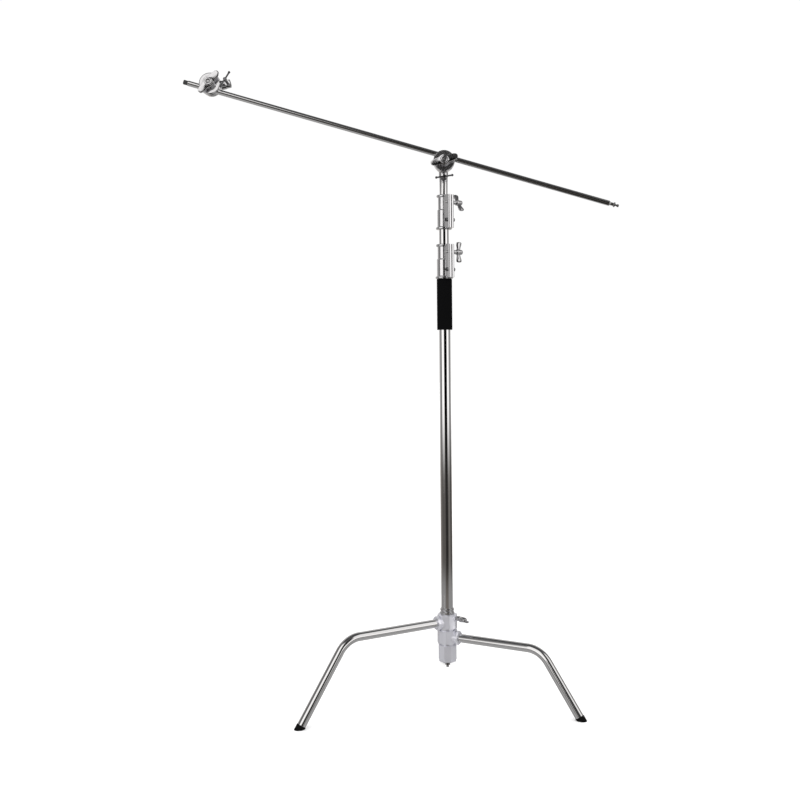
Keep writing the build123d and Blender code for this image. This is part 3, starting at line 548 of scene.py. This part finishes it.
# %% Grow a tree into a plain mesh and put it in place
def placed(origin, direction, x_dir=None):
    """The matrix that carries Z onto a direction, at a point."""
    z = Vector(direction).normalized()
    x = (x_dir or side_of(z)).normalized()
    y = z.cross(x)
    return Matrix(((x.x, y.x, z.x, origin.x), (x.y, y.y, z.y, origin.y), (x.z, y.z, z.z, origin.z), (0, 0, 0, 1)))


def grow(tree, name, place, **sizes):
    """Runs a Geometry Nodes tree with these named sizes and keeps only its mesh."""
    carrier = bpy.data.objects.new(f"{name}_carrier", bpy.data.meshes.new(f"{name}_carrier"))
    bpy.context.scene.collection.objects.link(carrier)
    modifier = carrier.modifiers.new("grow", "NODES")
    modifier.node_group = tree
    for item in tree.interface.items_tree:
        if item.in_out == "INPUT" and item.name in sizes:
            modifier[item.identifier] = sizes[item.name]
    grown = bpy.data.meshes.new_from_object(carrier.evaluated_get(bpy.context.evaluated_depsgraph_get()))
    carrier.modifiers.remove(modifier)
    bpy.data.objects.remove(carrier)
    grown.transform(place)
    made = bpy.data.objects.new(name, grown)
    bpy.context.scene.collection.objects.link(made)
    return made


def joined(name, parts):
    """Several objects as one mesh."""
    work = bmesh.new()
    for part in parts:
        work.from_mesh(part.data)
    mesh = bpy.data.meshes.new(name)
    work.to_mesh(mesh)
    work.free()
    for part in parts:
        bpy.data.objects.remove(part)
    made = bpy.data.objects.new(name, mesh)
    bpy.context.scene.collection.objects.link(made)
    return made


# %% [markdown]
# A screw is a turned core with a thread around part of it.  The core is a little thinner than the
# thread, so the crests stand where the CAD shaft's surface is.

# %% A threaded screw
def threaded(name, origin, direction, radius, start, end, pitch, head=()):
    """A screw from start to end along an axis; head is more outline beyond its end."""
    crest = 0.32 * pitch
    root = radius - crest
    core = [(0, start), (root - crest, start), (root, start + crest), (root, end), *head]
    if not head:
        core = core[:3] + [(root, end - crest), (root - crest, end), (0, end)]
    shaft = turn(f"{name}_core", origin, direction, core, corner=0.25 * MM, sides=48)
    length = end - start - 2.4 * crest
    thread = grow(
        COIL, f"{name}_thread", placed(origin + direction * (start + 1.2 * crest), direction),
        **{"Coil Radius": root, "Wire Radius": crest, "Length": length, "Turns": length / pitch},
    )
    return joined(name, [shaft, thread])


# %% The bolt under the base
bolt_low, bolt_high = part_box("base_end_bolt")
end_bolt = threaded("threaded_end_bolt", Vector((0, 0, 0)), UP, bolt_high.x, bolt_low.z, bolt_high.z, 1.25 * MM)
fit(end_bolt, ["base_end_bolt"])
print("end bolt diameter", round(2000 * bolt_high.x, 2), "mm")

# %% [markdown]
# ## Wing knobs
# Each clamp is closed by a cast wing knob: a round hub with two wings that swell towards their tips.
# The hub is turned, and each wing is an oval section carried outwards.  The pieces are then fused
# with a voxel remesh, which leaves the small fillets that a casting has where its wings meet its hub.

# %% Fuse pieces into one casting
def fused(name, parts, voxel, passes=6):
    """One skin around several overlapping solids, with its inner corners filled a little."""
    whole = joined(name, parts)
    remesh = whole.modifiers.new("skin", "REMESH")
    remesh.mode = "VOXEL"
    remesh.voxel_size = voxel
    relax = whole.modifiers.new("relax", "SMOOTH")
    relax.factor = 0.5
    relax.iterations = passes
    depsgraph = bpy.context.evaluated_depsgraph_get()
    mesh = bpy.data.meshes.new_from_object(whole.evaluated_get(depsgraph))
    whole.modifiers.clear()
    whole.data = mesh
    return whole


# %% One wing
def wing(name, root, out, lift, across, reach, sections):
    """sections is (share of reach, lift, half width, half thickness) from the hub to the tip."""
    sides = 32
    points, faces = [], []
    for share, raised, half_width, half_thick in sections:
        middle = root + out * reach * share + lift * raised
        for side in range(sides):
            a = 2 * math.pi * side / sides
            points.append(middle + lift * half_width * math.cos(a) + across * half_thick * math.sin(a))
    rows = len(sections)
    for row in range(rows - 1):
        for side in range(sides):
            step = (side + 1) % sides
            faces.append((row * sides + side, row * sides + step, (row + 1) * sides + step, (row + 1) * sides + side))
    faces.append(tuple(range(sides)))
    faces.append(tuple((rows - 1) * sides + side for side in range(sides)))
    return object_from(name, points, faces)


# %% A whole knob on its screw
KNOB_HUB_RADIUS = 8.5 * MM
KNOB_HUB_LENGTH = 22.0 * MM
KNOB_STEM = 12.0 * MM
KNOB_STEM_RADIUS = 6.1 * MM
SCREW_RADIUS = 4.0 * MM


def wing_knob(label, seat, direction, wing_dir, span, screw_back):
    """seat is where the knob's stem starts, direction points away from the casting."""
    stem_gap = 0.4 * MM
    top = KNOB_STEM + KNOB_HUB_LENGTH
    hub = turn(f"{label}_hub", seat, direction, [
        (0, stem_gap),
        (KNOB_STEM_RADIUS, stem_gap),
        (KNOB_STEM_RADIUS, KNOB_STEM - 2 * MM),
        (KNOB_HUB_RADIUS, KNOB_STEM + 1 * MM),
        (KNOB_HUB_RADIUS, KNOB_STEM + 6 * MM),
        (KNOB_HUB_RADIUS - 1.2 * MM, top - 3 * MM),
        (KNOB_HUB_RADIUS - 4.0 * MM, top),
        (0, top),
    ], corner=1.2 * MM, sides=64)
    across = direction.cross(wing_dir)
    root = seat + direction * (KNOB_STEM + 8 * MM)
    sections = [
        (0.00, 0.0, 6.2 * MM, 4.4 * MM),
        (0.30, 0.0, 6.2 * MM, 4.0 * MM),
        (0.50, 0.5 * MM, 7.4 * MM, 3.9 * MM),
        (0.72, 1.2 * MM, 9.2 * MM, 4.2 * MM),
        (0.86, 1.6 * MM, 9.6 * MM, 4.3 * MM),
        (0.95, 1.8 * MM, 7.8 * MM, 3.9 * MM),
        (0.99, 2.2 * MM, 4.4 * MM, 2.5 * MM),
        (1.00, 2.2 * MM, 1.6 * MM, 1.0 * MM),
    ]
    wings = [
        wing(f"{label}_wing_{sign}", root, wing_dir * sign, direction, across, span / 2, sections)
        for sign in (1, -1)
    ]
    knob = fused(f"{label}_cast_knob", [hub, *wings], 0.42 * MM)
    fit(knob, [f"{label}_knob"], KNOB_CHROME, angle=80)
    screw = threaded(f"{label}_threaded_screw", seat, direction, SCREW_RADIUS, -screw_back, stem_gap, 1.25 * MM)
    fit(screw, [f"{label}_screw"])
    return knob


# %% Put the three knobs on
def level_heading(azimuth):
    """The level direction at an azimuth in degrees."""
    return Vector((math.cos(math.radians(azimuth)), math.sin(math.radians(azimuth)), 0))


def spun(direction, about, degrees):
    """A direction turned about an axis."""
    return Matrix.Rotation(math.radians(degrees), 3, about) @ direction


EAR_AZIMUTH = -60.0
CLAMP_REACH = 33.0 * MM
EAR_HALF_WIDTH = 10.0 * MM
CLAMP_HEIGHT = 78.5 * MM
ADJUST_HEIGHT = 26.0 * MM
ADJUST_HEAD = 5.8 * MM
clamp_direction = level_heading(EAR_AZIMUTH + 90)


def cap_screw(which, middle):
    """The small screw that sets a collar's ease: a round head with a socket on each side."""
    ends = []
    for sign in (1, -1):
        face = EAR_HALF_WIDTH + 0.1 * MM
        ends.append(turn(f"{which}_adjust_head_{sign}", middle, clamp_direction * sign, [
            (0, 0), (2.95 * MM, 0), (2.95 * MM, face), (ADJUST_HEAD, face), (ADJUST_HEAD, face + 4.9 * MM),
            (3.0 * MM, face + 4.9 * MM), (3.0 * MM, face + 2.2 * MM), (0, face + 2.2 * MM),
        ], corner=0.5 * MM, sides=48))
    fit(joined(f"{which}_adjust_cap_screw", ends), [f"{which}_collar_adjust_bolt"], DARK_STEEL)


for which, knob_turn in (("lower", 0.0), ("upper", -35.0)):
    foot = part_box(f"{which}_collar_casting")[0].z
    bolt_line = level_heading(EAR_AZIMUTH) * CLAMP_REACH
    seat = bolt_line + clamp_direction * EAR_HALF_WIDTH + UP * (foot + CLAMP_HEIGHT)
    cap_screw(which, bolt_line + UP * (foot + ADJUST_HEIGHT))
    wing_knob(f"{which}_collar_clamp", seat, clamp_direction, spun(UP, clamp_direction, knob_turn), 62 * MM, 27 * MM)
lock_direction = level_heading(-35.0)
lock_low, lock_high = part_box("leg_lock_screw")
lock_seat = lock_direction * 33.0 * MM + UP * (lock_low.z + lock_high.z) / 2
wing_knob("leg_lock", lock_seat, lock_direction, spun(UP, lock_direction, 62.0), 54 * MM, 15.1 * MM)
print("wing knobs: 3")

# %% [markdown]
# ## The stud on top and the boom
# The boom is a solid rod 16 mm thick.  Its left end has a black plastic cap and its right end has a
# turned stud for hanging things on.  Both ends are found from the rod's own mesh.

# %% Find the boom's axis
BOOM_TILT = math.radians(16.4)
along = Vector((math.cos(BOOM_TILT), 0, -math.sin(BOOM_TILT)))
over = Vector((math.sin(BOOM_TILT), 0, math.cos(BOOM_TILT)))
BOOM_RADIUS = 8.0 * MM
rod_points = [v.co for v in frame["nodes"]["boom_rod"].data.vertices]
rod_start = min(p.dot(along) for p in rod_points)
rod_end = max(p.dot(along) for p in rod_points)
rod_low, rod_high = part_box("boom_rod")
rod_over = sum((max(p.dot(over) for p in rod_points), min(p.dot(over) for p in rod_points))) / 2
rod_foot = over * rod_over + Vector((0, (rod_low.y + rod_high.y) / 2, 0))
print("boom length", round(1000 * (rod_end - rod_start)), "mm")

# %% Turn the rod, its cap and its stud
rod = turn("polished_boom_rod", rod_foot, along, [
    (0, rod_start), (BOOM_RADIUS, rod_start), (BOOM_RADIUS, rod_end), (0, rod_end),
], corner=1.0 * MM, sides=128)
fit(rod, ["boom_rod"])
cap = turn("boom_left_cap", rod_foot, along, [
    (0, rod_start - 14 * MM), (6.2 * MM, rod_start - 14 * MM), (7.0 * MM, rod_start - 12.5 * MM),
    (7.0 * MM, rod_start - 6 * MM), (6.5 * MM, rod_start - 5.5 * MM), (6.5 * MM, rod_start - 3.5 * MM),
    (7.0 * MM, rod_start - 3 * MM), (7.0 * MM, rod_start), (0, rod_start),
], corner=0.5 * MM, sides=64)
fit(cap, ["boom_end_cap"])
stud = turn("boom_right_stud", rod_foot, along, [
    (0, rod_end), (7.0 * MM, rod_end), (5.0 * MM, rod_end + 3 * MM), (5.0 * MM, rod_end + 13 * MM),
    (7.5 * MM, rod_end + 13 * MM), (7.5 * MM, rod_end + 17 * MM), (3.0 * MM, rod_end + 17 * MM),
    (3.0 * MM, rod_end + 23 * MM), (4.5 * MM, rod_end + 23 * MM), (4.5 * MM, rod_end + 28 * MM),
    (3.5 * MM, rod_end + 29 * MM), (0, rod_end + 29 * MM),
], corner=0.4 * MM, sides=64)
fit(stud, ["boom_end_stud"])
print("boom ends made: 2")

# %% The stud on top of the column
top_low, top_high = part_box("top_stud")
column_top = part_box("top_tube")[1].z
STUD_RADIUS = 8.0 * MM
TOP_TUBE_RADIUS = top_high.x
top_stud = turn("column_top_stud", Vector((0, 0, 0)), UP, [
    (0, top_low.z), (TOP_TUBE_RADIUS - COLUMN_WALL, top_low.z), (TOP_TUBE_RADIUS - COLUMN_WALL, column_top),
    (TOP_TUBE_RADIUS, column_top), (TOP_TUBE_RADIUS, column_top + 4 * MM), (STUD_RADIUS, column_top + 4 * MM),
    (STUD_RADIUS, top_high.z - 1.5 * MM), (STUD_RADIUS - 1.5 * MM, top_high.z), (0, top_high.z),
], corner=0.6 * MM, sides=96)
fit(top_stud, ["top_stud"])
print("stud top at", round(1000 * top_high.z), "mm")

# %% [markdown]
# ## The grip heads
# A grip head holds a rod between two grooved jaws, which a wing handle presses together along one
# bolt.  Both heads are the same, so one function makes a head around its centre.  The castings are
# CAD shapes with broken edges; the handle, the screws, the nut and the spring are made here.

# %% The wing handle
HANDLE_SPAN = 42.0 * MM
HANDLE_WIDTH = 11.5 * MM
HANDLE_HUB = 16.5 * MM
TIP_LIFT = 1.0 * MM
TIP_THINNER = 1.2 * MM
HANDLE_FULLNESS = 3.0


def leaf_radius(angle):
    """How far the handle's rim is from its bolt at an angle: a full ellipse joined to a circle."""
    c, s = abs(math.cos(angle)) / HANDLE_SPAN, abs(math.sin(angle)) / HANDLE_WIDTH
    lobe = 1 / (c ** HANDLE_FULLNESS + s ** HANDLE_FULLNESS) ** (1 / HANDLE_FULLNESS)
    return (lobe ** 9 + HANDLE_HUB ** 9) ** (1 / 9)


def wing_handle(name, node, foot, wing_dir):
    """foot is where the handle starts on the head's axis; it grows towards the front."""
    bore, neck, nose, socket = 4.1 * MM, 12.0 * MM, 11.6 * MM, 6.0 * MM
    rim = HANDLE_HUB
    outline = [
        (bore, 0.4 * MM), (neck - 0.8 * MM, 0.4 * MM), (neck, 1.2 * MM), (neck, 6.5 * MM), (neck + 1.0 * MM, 8.6 * MM),
        (rim - 1.8 * MM, 9.2 * MM), (rim - 0.6 * MM, 10.0 * MM), (rim, 11.6 * MM), (rim, 15.2 * MM),
        (rim - 0.5 * MM, 16.9 * MM), (rim - 1.5 * MM, 17.8 * MM), (rim - 2.6 * MM, 18.0 * MM),
        (nose + 0.8 * MM, 18.2 * MM), (nose, 19.2 * MM), (nose, 21.0 * MM), (nose - 1.0 * MM, 22.0 * MM),
        (socket + 0.6 * MM, 22.0 * MM), (socket, 21.4 * MM), (socket, 15.2 * MM), (bore, 15.0 * MM),
    ]
    first, last = 5, 11

    def shape(index, angle, radius, height):
        if not first <= index <= last:
            return radius, height
        reach = leaf_radius(angle)
        share = (reach - HANDLE_HUB) / (HANDLE_SPAN - HANDLE_HUB)
        thinner = TIP_THINNER * share * (index - first) / (last - first)
        return reach - HANDLE_HUB + radius, height + TIP_LIFT * share ** 2 - thinner

    made = turn(name, foot, FRONT, outline, corner=0, sides=128, x_dir=wing_dir, shape=shape)
    finish = made.modifiers.new("round", "SUBSURF")
    finish.levels = 1
    finish.render_levels = 1
    fit(made, [node], HEAD_CHROME, angle=75)
    return made


# %% Screws, nut and spring of a head
def tommy_bar(name, node, middle, direction):
    """A sliding bar with a ball on each end."""
    half, thin, ball = 24 * MM, 2.5 * MM, 3.8 * MM
    outline = [(0, -half - ball)]
    for degrees in range(20, 140, 20):
        a = math.radians(degrees)
        outline.append((ball * math.sin(a), -half - ball * math.cos(a)))
    outline.append((thin, -half + 2.9 * MM))
    outline += [(r, -h) for r, h in reversed(outline)]
    made = turn(name, middle, direction, outline, corner=0, sides=48)
    fit(made, [node], DARK_STEEL, angle=50)
    return made


def t_screw(name, node, foot):
    """The screw that bites the stud, with its cross-drilled head."""
    head = [
        (3.2 * MM, 48.6 * MM), (5.5 * MM, 49.0 * MM), (5.5 * MM, 52.0 * MM), (5.1 * MM, 52.5 * MM),
        (5.1 * MM, 59.0 * MM), (5.5 * MM, 59.5 * MM), (4.5 * MM, 61.0 * MM), (0, 61.0 * MM),
    ]
    made = threaded(name, foot, FRONT, 4.0 * MM, 8.4 * MM, 48.6 * MM, 1.25 * MM, head=head)
    fit(made, [node], DARK_STEEL, angle=45)
    return made


# %% Put a whole head together
HEAD_EDGE = 0.8 * MM
JAWS_FRONT = 50.6 * MM
THRUST_WASHER = 2.5 * MM
T_REACH = 48.0 * MM
TOMMY_HEIGHT = 56.0 * MM
SPRING_HALF = 4.1 * MM
JAW_MIDDLE = 36.1 * MM


def in_front(degrees):
    """The direction at an angle above level, seen from the front."""
    return Vector((math.cos(math.radians(degrees)), 0, math.sin(math.radians(degrees))))


def grip_head(name, centre, out, handle_angle, tommy_angle):
    """Every piece of one grip head."""
    for part in ("receiver", "inner_jaw", "outer_jaw"):
        broken_edges(f"{name}_{part}", HEAD_EDGE, HEAD_CHROME)
    for part in ("friction_washer", "thrust_washer"):
        broken_edges(f"{name}_{part}", 0.25 * MM)
    handle_foot = centre + FRONT * (JAWS_FRONT + THRUST_WASHER)
    wing_handle(f"{name}_wing_handle", f"{name}_handle", handle_foot, in_front(handle_angle))
    bolt = threaded(f"{name}_threaded_bolt", centre, FRONT, 4.0 * MM, 12.0 * MM, 73.1 * MM, 1.25 * MM)
    nut = turn(f"{name}_nut", centre, FRONT, [
        (3.6 * MM, 68.4 * MM), (5.2 * MM, 68.4 * MM), (5.6 * MM, 69.0 * MM),
        (5.6 * MM, 71.6 * MM), (5.2 * MM, 72.2 * MM), (3.6 * MM, 72.2 * MM),
    ], corner=0, sides=6)
    fit(joined(f"{name}_bolt_and_nut", [bolt, nut]), [f"{name}_bolt"], angle=30)
    spring = grow(
        COIL, f"{name}_coil_spring", placed(centre + FRONT * (JAW_MIDDLE - SPRING_HALF), FRONT),
        **{"Coil Radius": 4.9 * MM, "Wire Radius": 0.62 * MM, "Length": 2 * SPRING_HALF, "Turns": 4.0},
    )
    fit(spring, [f"{name}_spring"], angle=60)
    t_foot = centre + out * T_REACH
    t_screw(f"{name}_threaded_t_screw", f"{name}_t_screw", t_foot)
    tommy_bar(f"{name}_ball_tommy_bar", f"{name}_tommy_bar", t_foot + FRONT * TOMMY_HEIGHT, in_front(tommy_angle))


# %% Make both heads
ARM_STATION = 736.0 * MM
GROOVE_OFFSET = 15.0 * MM
SOCKET_MOUTH = 56.6 * MM
mast_centre = UP * (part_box("mast_head_receiver")[0].z + SOCKET_MOUTH)
arm_centre = mast_centre + over * 2 * GROOVE_OFFSET - along * ARM_STATION
grip_head("mast_head", mast_centre, -UP, 16.0, 8.0)
grip_head("arm_head", arm_centre, in_front(12.0), 47.0, 58.0)
print("mast head centre height", round(1000 * mast_centre.z), "mm; arm head at", [round(1000 * v) for v in arm_centre])

# %% [markdown]
# ## Any node that is left
# Whatever was not made above keeps its CAD shape, with its finish in place of the plain grey one.

# %% Finish what is left
stood_for = {n for piece in bpy.data.objects for n in piece.get("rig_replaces", [])}
left = sorted(set(frame["nodes"]) - stood_for)
for node in left:
    broken_edges(node, 0.25 * MM)
print("left with CAD shapes:", left)

# %% [markdown]
# ## Floor, light and camera
# The floor is plain and pale.  A chrome surface shows its surroundings, so the sky around the stand
# is built in zones as a studio is: dark towards the camera, a bright panel on each side of it, grey
# walls beyond them and a white backdrop.  Diffuse surfaces and the camera see plain white.

# %% The floor
floor_mesh = bpy.data.meshes.new("floor")
FLOOR_HALF = 30.0
corners = [(x * FLOOR_HALF, y * FLOOR_HALF, 0) for x, y in ((-1, -1), (1, -1), (1, 1), (-1, 1))]
floor_mesh.from_pydata(corners, [], [(0, 1, 2, 3)])
floor = bpy.data.objects.new("floor", floor_mesh)
bpy.context.scene.collection.objects.link(floor)
paper = make_finish("floor_paper", (0.93, 0.93, 0.93), 0.0, (0.8, 0.95), 40, 0.0001, smudge=2, tint=0.005)
floor_mesh.materials.append(paper)
floor.visible_glossy = False
floor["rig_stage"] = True
print("floor half width", FLOOR_HALF, "m")

# %% The sky, in zones
world = bpy.data.worlds.new("studio")
bpy.context.scene.world = world
world.use_nodes = True
sky = world.node_tree
background = sky.nodes["Background"]
direction = add_node(sky, "ShaderNodeTexCoord").outputs["Generated"]
split = add_node(sky, "ShaderNodeSeparateXYZ", links=[("Vector", direction)])


def math_node(operation, a, b=None):
    """A Math node on sockets or numbers."""
    made = sky.nodes.new("ShaderNodeMath")
    made.operation = operation
    for index, value in enumerate((a, b)):
        if value is None:
            continue
        if isinstance(value, (int, float)):
            made.inputs[index].default_value = value
        else:
            sky.links.new(value, made.inputs[index])
    return made.outputs[0]


def zones(factor, stops):
    """A colour ramp: stops is (share, (r, g, b))."""
    ramp = sky.nodes.new("ShaderNodeValToRGB")
    sky.links.new(factor, ramp.inputs["Fac"])
    elements = ramp.color_ramp.elements
    while len(elements) > 1:
        elements.remove(elements[-1])
    for index, (share, color) in enumerate(stops):
        element = elements[0] if index == 0 else elements.new(share)
        element.position = share
        element.color = (*color, 1)
    return ramp.outputs["Color"]


def grey(value, warmth=0.0):
    """A grey, warmer if warmth is above zero."""
    return (value * (1 + warmth), value, value * (1 - warmth))


# %% Level, high and low zones of the sky
towards_front = math_node("MULTIPLY", split.outputs["Y"], -1)
turned = math_node("ARCTAN2", split.outputs["X"], towards_front)
turned_share = math_node("ADD", math_node("DIVIDE", turned, 2 * math.pi), 0.5)
height = math_node("ARCSINE", split.outputs["Z"])
height_share = math_node("ADD", math_node("DIVIDE", height, math.pi), 0.5)


def azimuth_share(degrees):
    """Where an angle from the camera's side falls on the level ramp."""
    return degrees / 360 + 0.5


def height_at(degrees):
    """Where an angle above level falls on the height ramp."""
    return degrees / 180 + 0.5


def around(stops, warmth=0.02):
    """A zone that changes with the level direction: stops is (angle from the camera's side, brightness)."""
    return zones(turned_share, [(azimuth_share(angle), grey(value, warmth)) for angle, value in stops])


def upwards(stops, warmth=0.0):
    """A zone that changes with height: stops is (angle above level, brightness)."""
    return zones(height_share, [(height_at(angle), grey(value, warmth)) for angle, value in stops])


BACKDROP, PANEL, WALL, BLACK = 0.85, 1.15, 0.18, 0.0
level_zone = around([
    (-178, BACKDROP), (-148, BACKDROP), (-132, 0.42), (-108, 0.34), (-88, 0.17), (-74, WALL), (-66, PANEL),
    (-26, PANEL), (-20, BLACK), (28, BLACK), (36, PANEL), (66, PANEL), (78, 0.3), (95, 0.22), (125, 0.34),
    (142, BACKDROP), (178, BACKDROP),
])
high_zone = around([
    (-178, 0.45), (-140, 0.45), (-125, 0.3), (-95, 0.15), (-75, 0.1), (-58, 0.15), (-50, 1.0), (-7, 1.0),
    (0, 0.03), (38, 0.03), (46, 0.85), (84, 0.9), (94, 0.2), (110, 0.05), (122, 0.1), (145, 0.45), (178, 0.45),
])
dusk_zone = around([
    (-178, 0.4), (-112, 0.2), (-99, 0.12), (-72, 0.1), (-55, 0.09), (-27, 0.1), (-10, 0.03), (25, 0.015),
    (36, 0.1), (54, 0.16), (68, 0.17), (88, 0.08), (108, 0.04), (127, 0.1), (150, 0.3), (178, 0.4),
], warmth=0.08)
low_zone = upwards([
    (-90, 0.04), (-74, 0.04), (-68, 0.35), (-55, 0.4), (-42, 0.25), (-34, 0.32), (-28, 0.45), (-20, 0.24), (-14, 0.28),
], warmth=0.015)
low_front = upwards([(-26, 0.02), (-18, 0.1), (-14, 0.16), (-12, 0.07)], warmth=0.1)
front_share = around([(-34, 0), (-24, 1), (24, 1), (34, 0)], warmth=0.0)
top_zone = upwards([(50, 0.3), (62, 0.06), (90, 0.08)])


# %% Blend the zones by height and show them only to reflections
def mixed(factor, low, high):
    """A blend of two colours."""
    made = add_node(sky, "ShaderNodeMix", set_data_type="RGBA")
    for index, value in ((0, factor), (6, low), (7, high)):
        if isinstance(value, (int, float)):
            made.inputs[index].default_value = value
        elif isinstance(value, tuple):
            made.inputs[index].default_value = (*value, 1)
        else:
            sky.links.new(value, made.inputs[index])
    return made.outputs[2]


def step_at(low, high):
    """0 below the low angle and 1 above the high one."""
    made = add_node(sky, "ShaderNodeMapRange", links=[("Value", height_share)], set_interpolation_type="SMOOTHSTEP")
    made.inputs["From Min"].default_value = height_at(low)
    made.inputs["From Max"].default_value = height_at(high)
    return made.outputs["Result"]


walls = mixed(step_at(8.6, 9.6), level_zone, high_zone)
with_top = mixed(step_at(48, 60), walls, top_zone)
low_all = mixed(front_share, low_zone, low_front)
low_and_dusk = mixed(step_at(-13.5, -11.5), low_all, dusk_zone)
studio = mixed(step_at(-8, -2.5), low_and_dusk, with_top)
path = add_node(sky, "ShaderNodeLightPath")
plain = mixed(path.outputs["Is Camera Ray"], (1.35, 1.35, 1.35), (1.02, 1.02, 1.02))
shown = mixed(path.outputs["Is Glossy Ray"], plain, studio)
sky.links.new(shown, background.inputs["Color"])
background.inputs["Strength"].default_value = 1.0

# %% One soft lamp
lamp = bpy.data.lights.new("soft_panel", "AREA")
lamp.shape = "RECTANGLE"
lamp.size = 2.4
lamp.size_y = 1.6
lamp.energy = 25
panel = bpy.data.objects.new("soft_panel", lamp)
bpy.context.scene.collection.objects.link(panel)
panel.location = (-1.8, -2.2, 3.2)
panel.rotation_euler = (Vector((0, 0, 1)) - Vector(panel.location)).to_track_quat("-Z", "Y").to_euler()
panel.visible_glossy = False
panel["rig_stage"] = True
print("lamp energy", lamp.energy, "W")

# %% The camera
camera_data = bpy.data.cameras.new("camera")
camera_data.sensor_width = 36.0
camera_data.lens = 46.03
camera_data.shift_y = -0.0625
camera = bpy.data.objects.new("camera", camera_data)
bpy.context.scene.collection.objects.link(camera)
CAMERA_ROLL = -0.49
camera.matrix_world = (
    Matrix.Translation((-0.1363, -3.1, 1.0532))
    @ Matrix.Rotation(math.radians(90), 4, "X")
    @ Matrix.Rotation(math.radians(CAMERA_ROLL), 4, "Z")
)
bpy.context.scene.camera = camera
bpy.context.scene.view_settings.view_transform = "Standard"
print("camera at", [round(v, 3) for v in camera.location])

# %% Measure the finished stand
low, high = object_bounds()
print("stand box in metres:", [round(v, 3) for v in high - low])
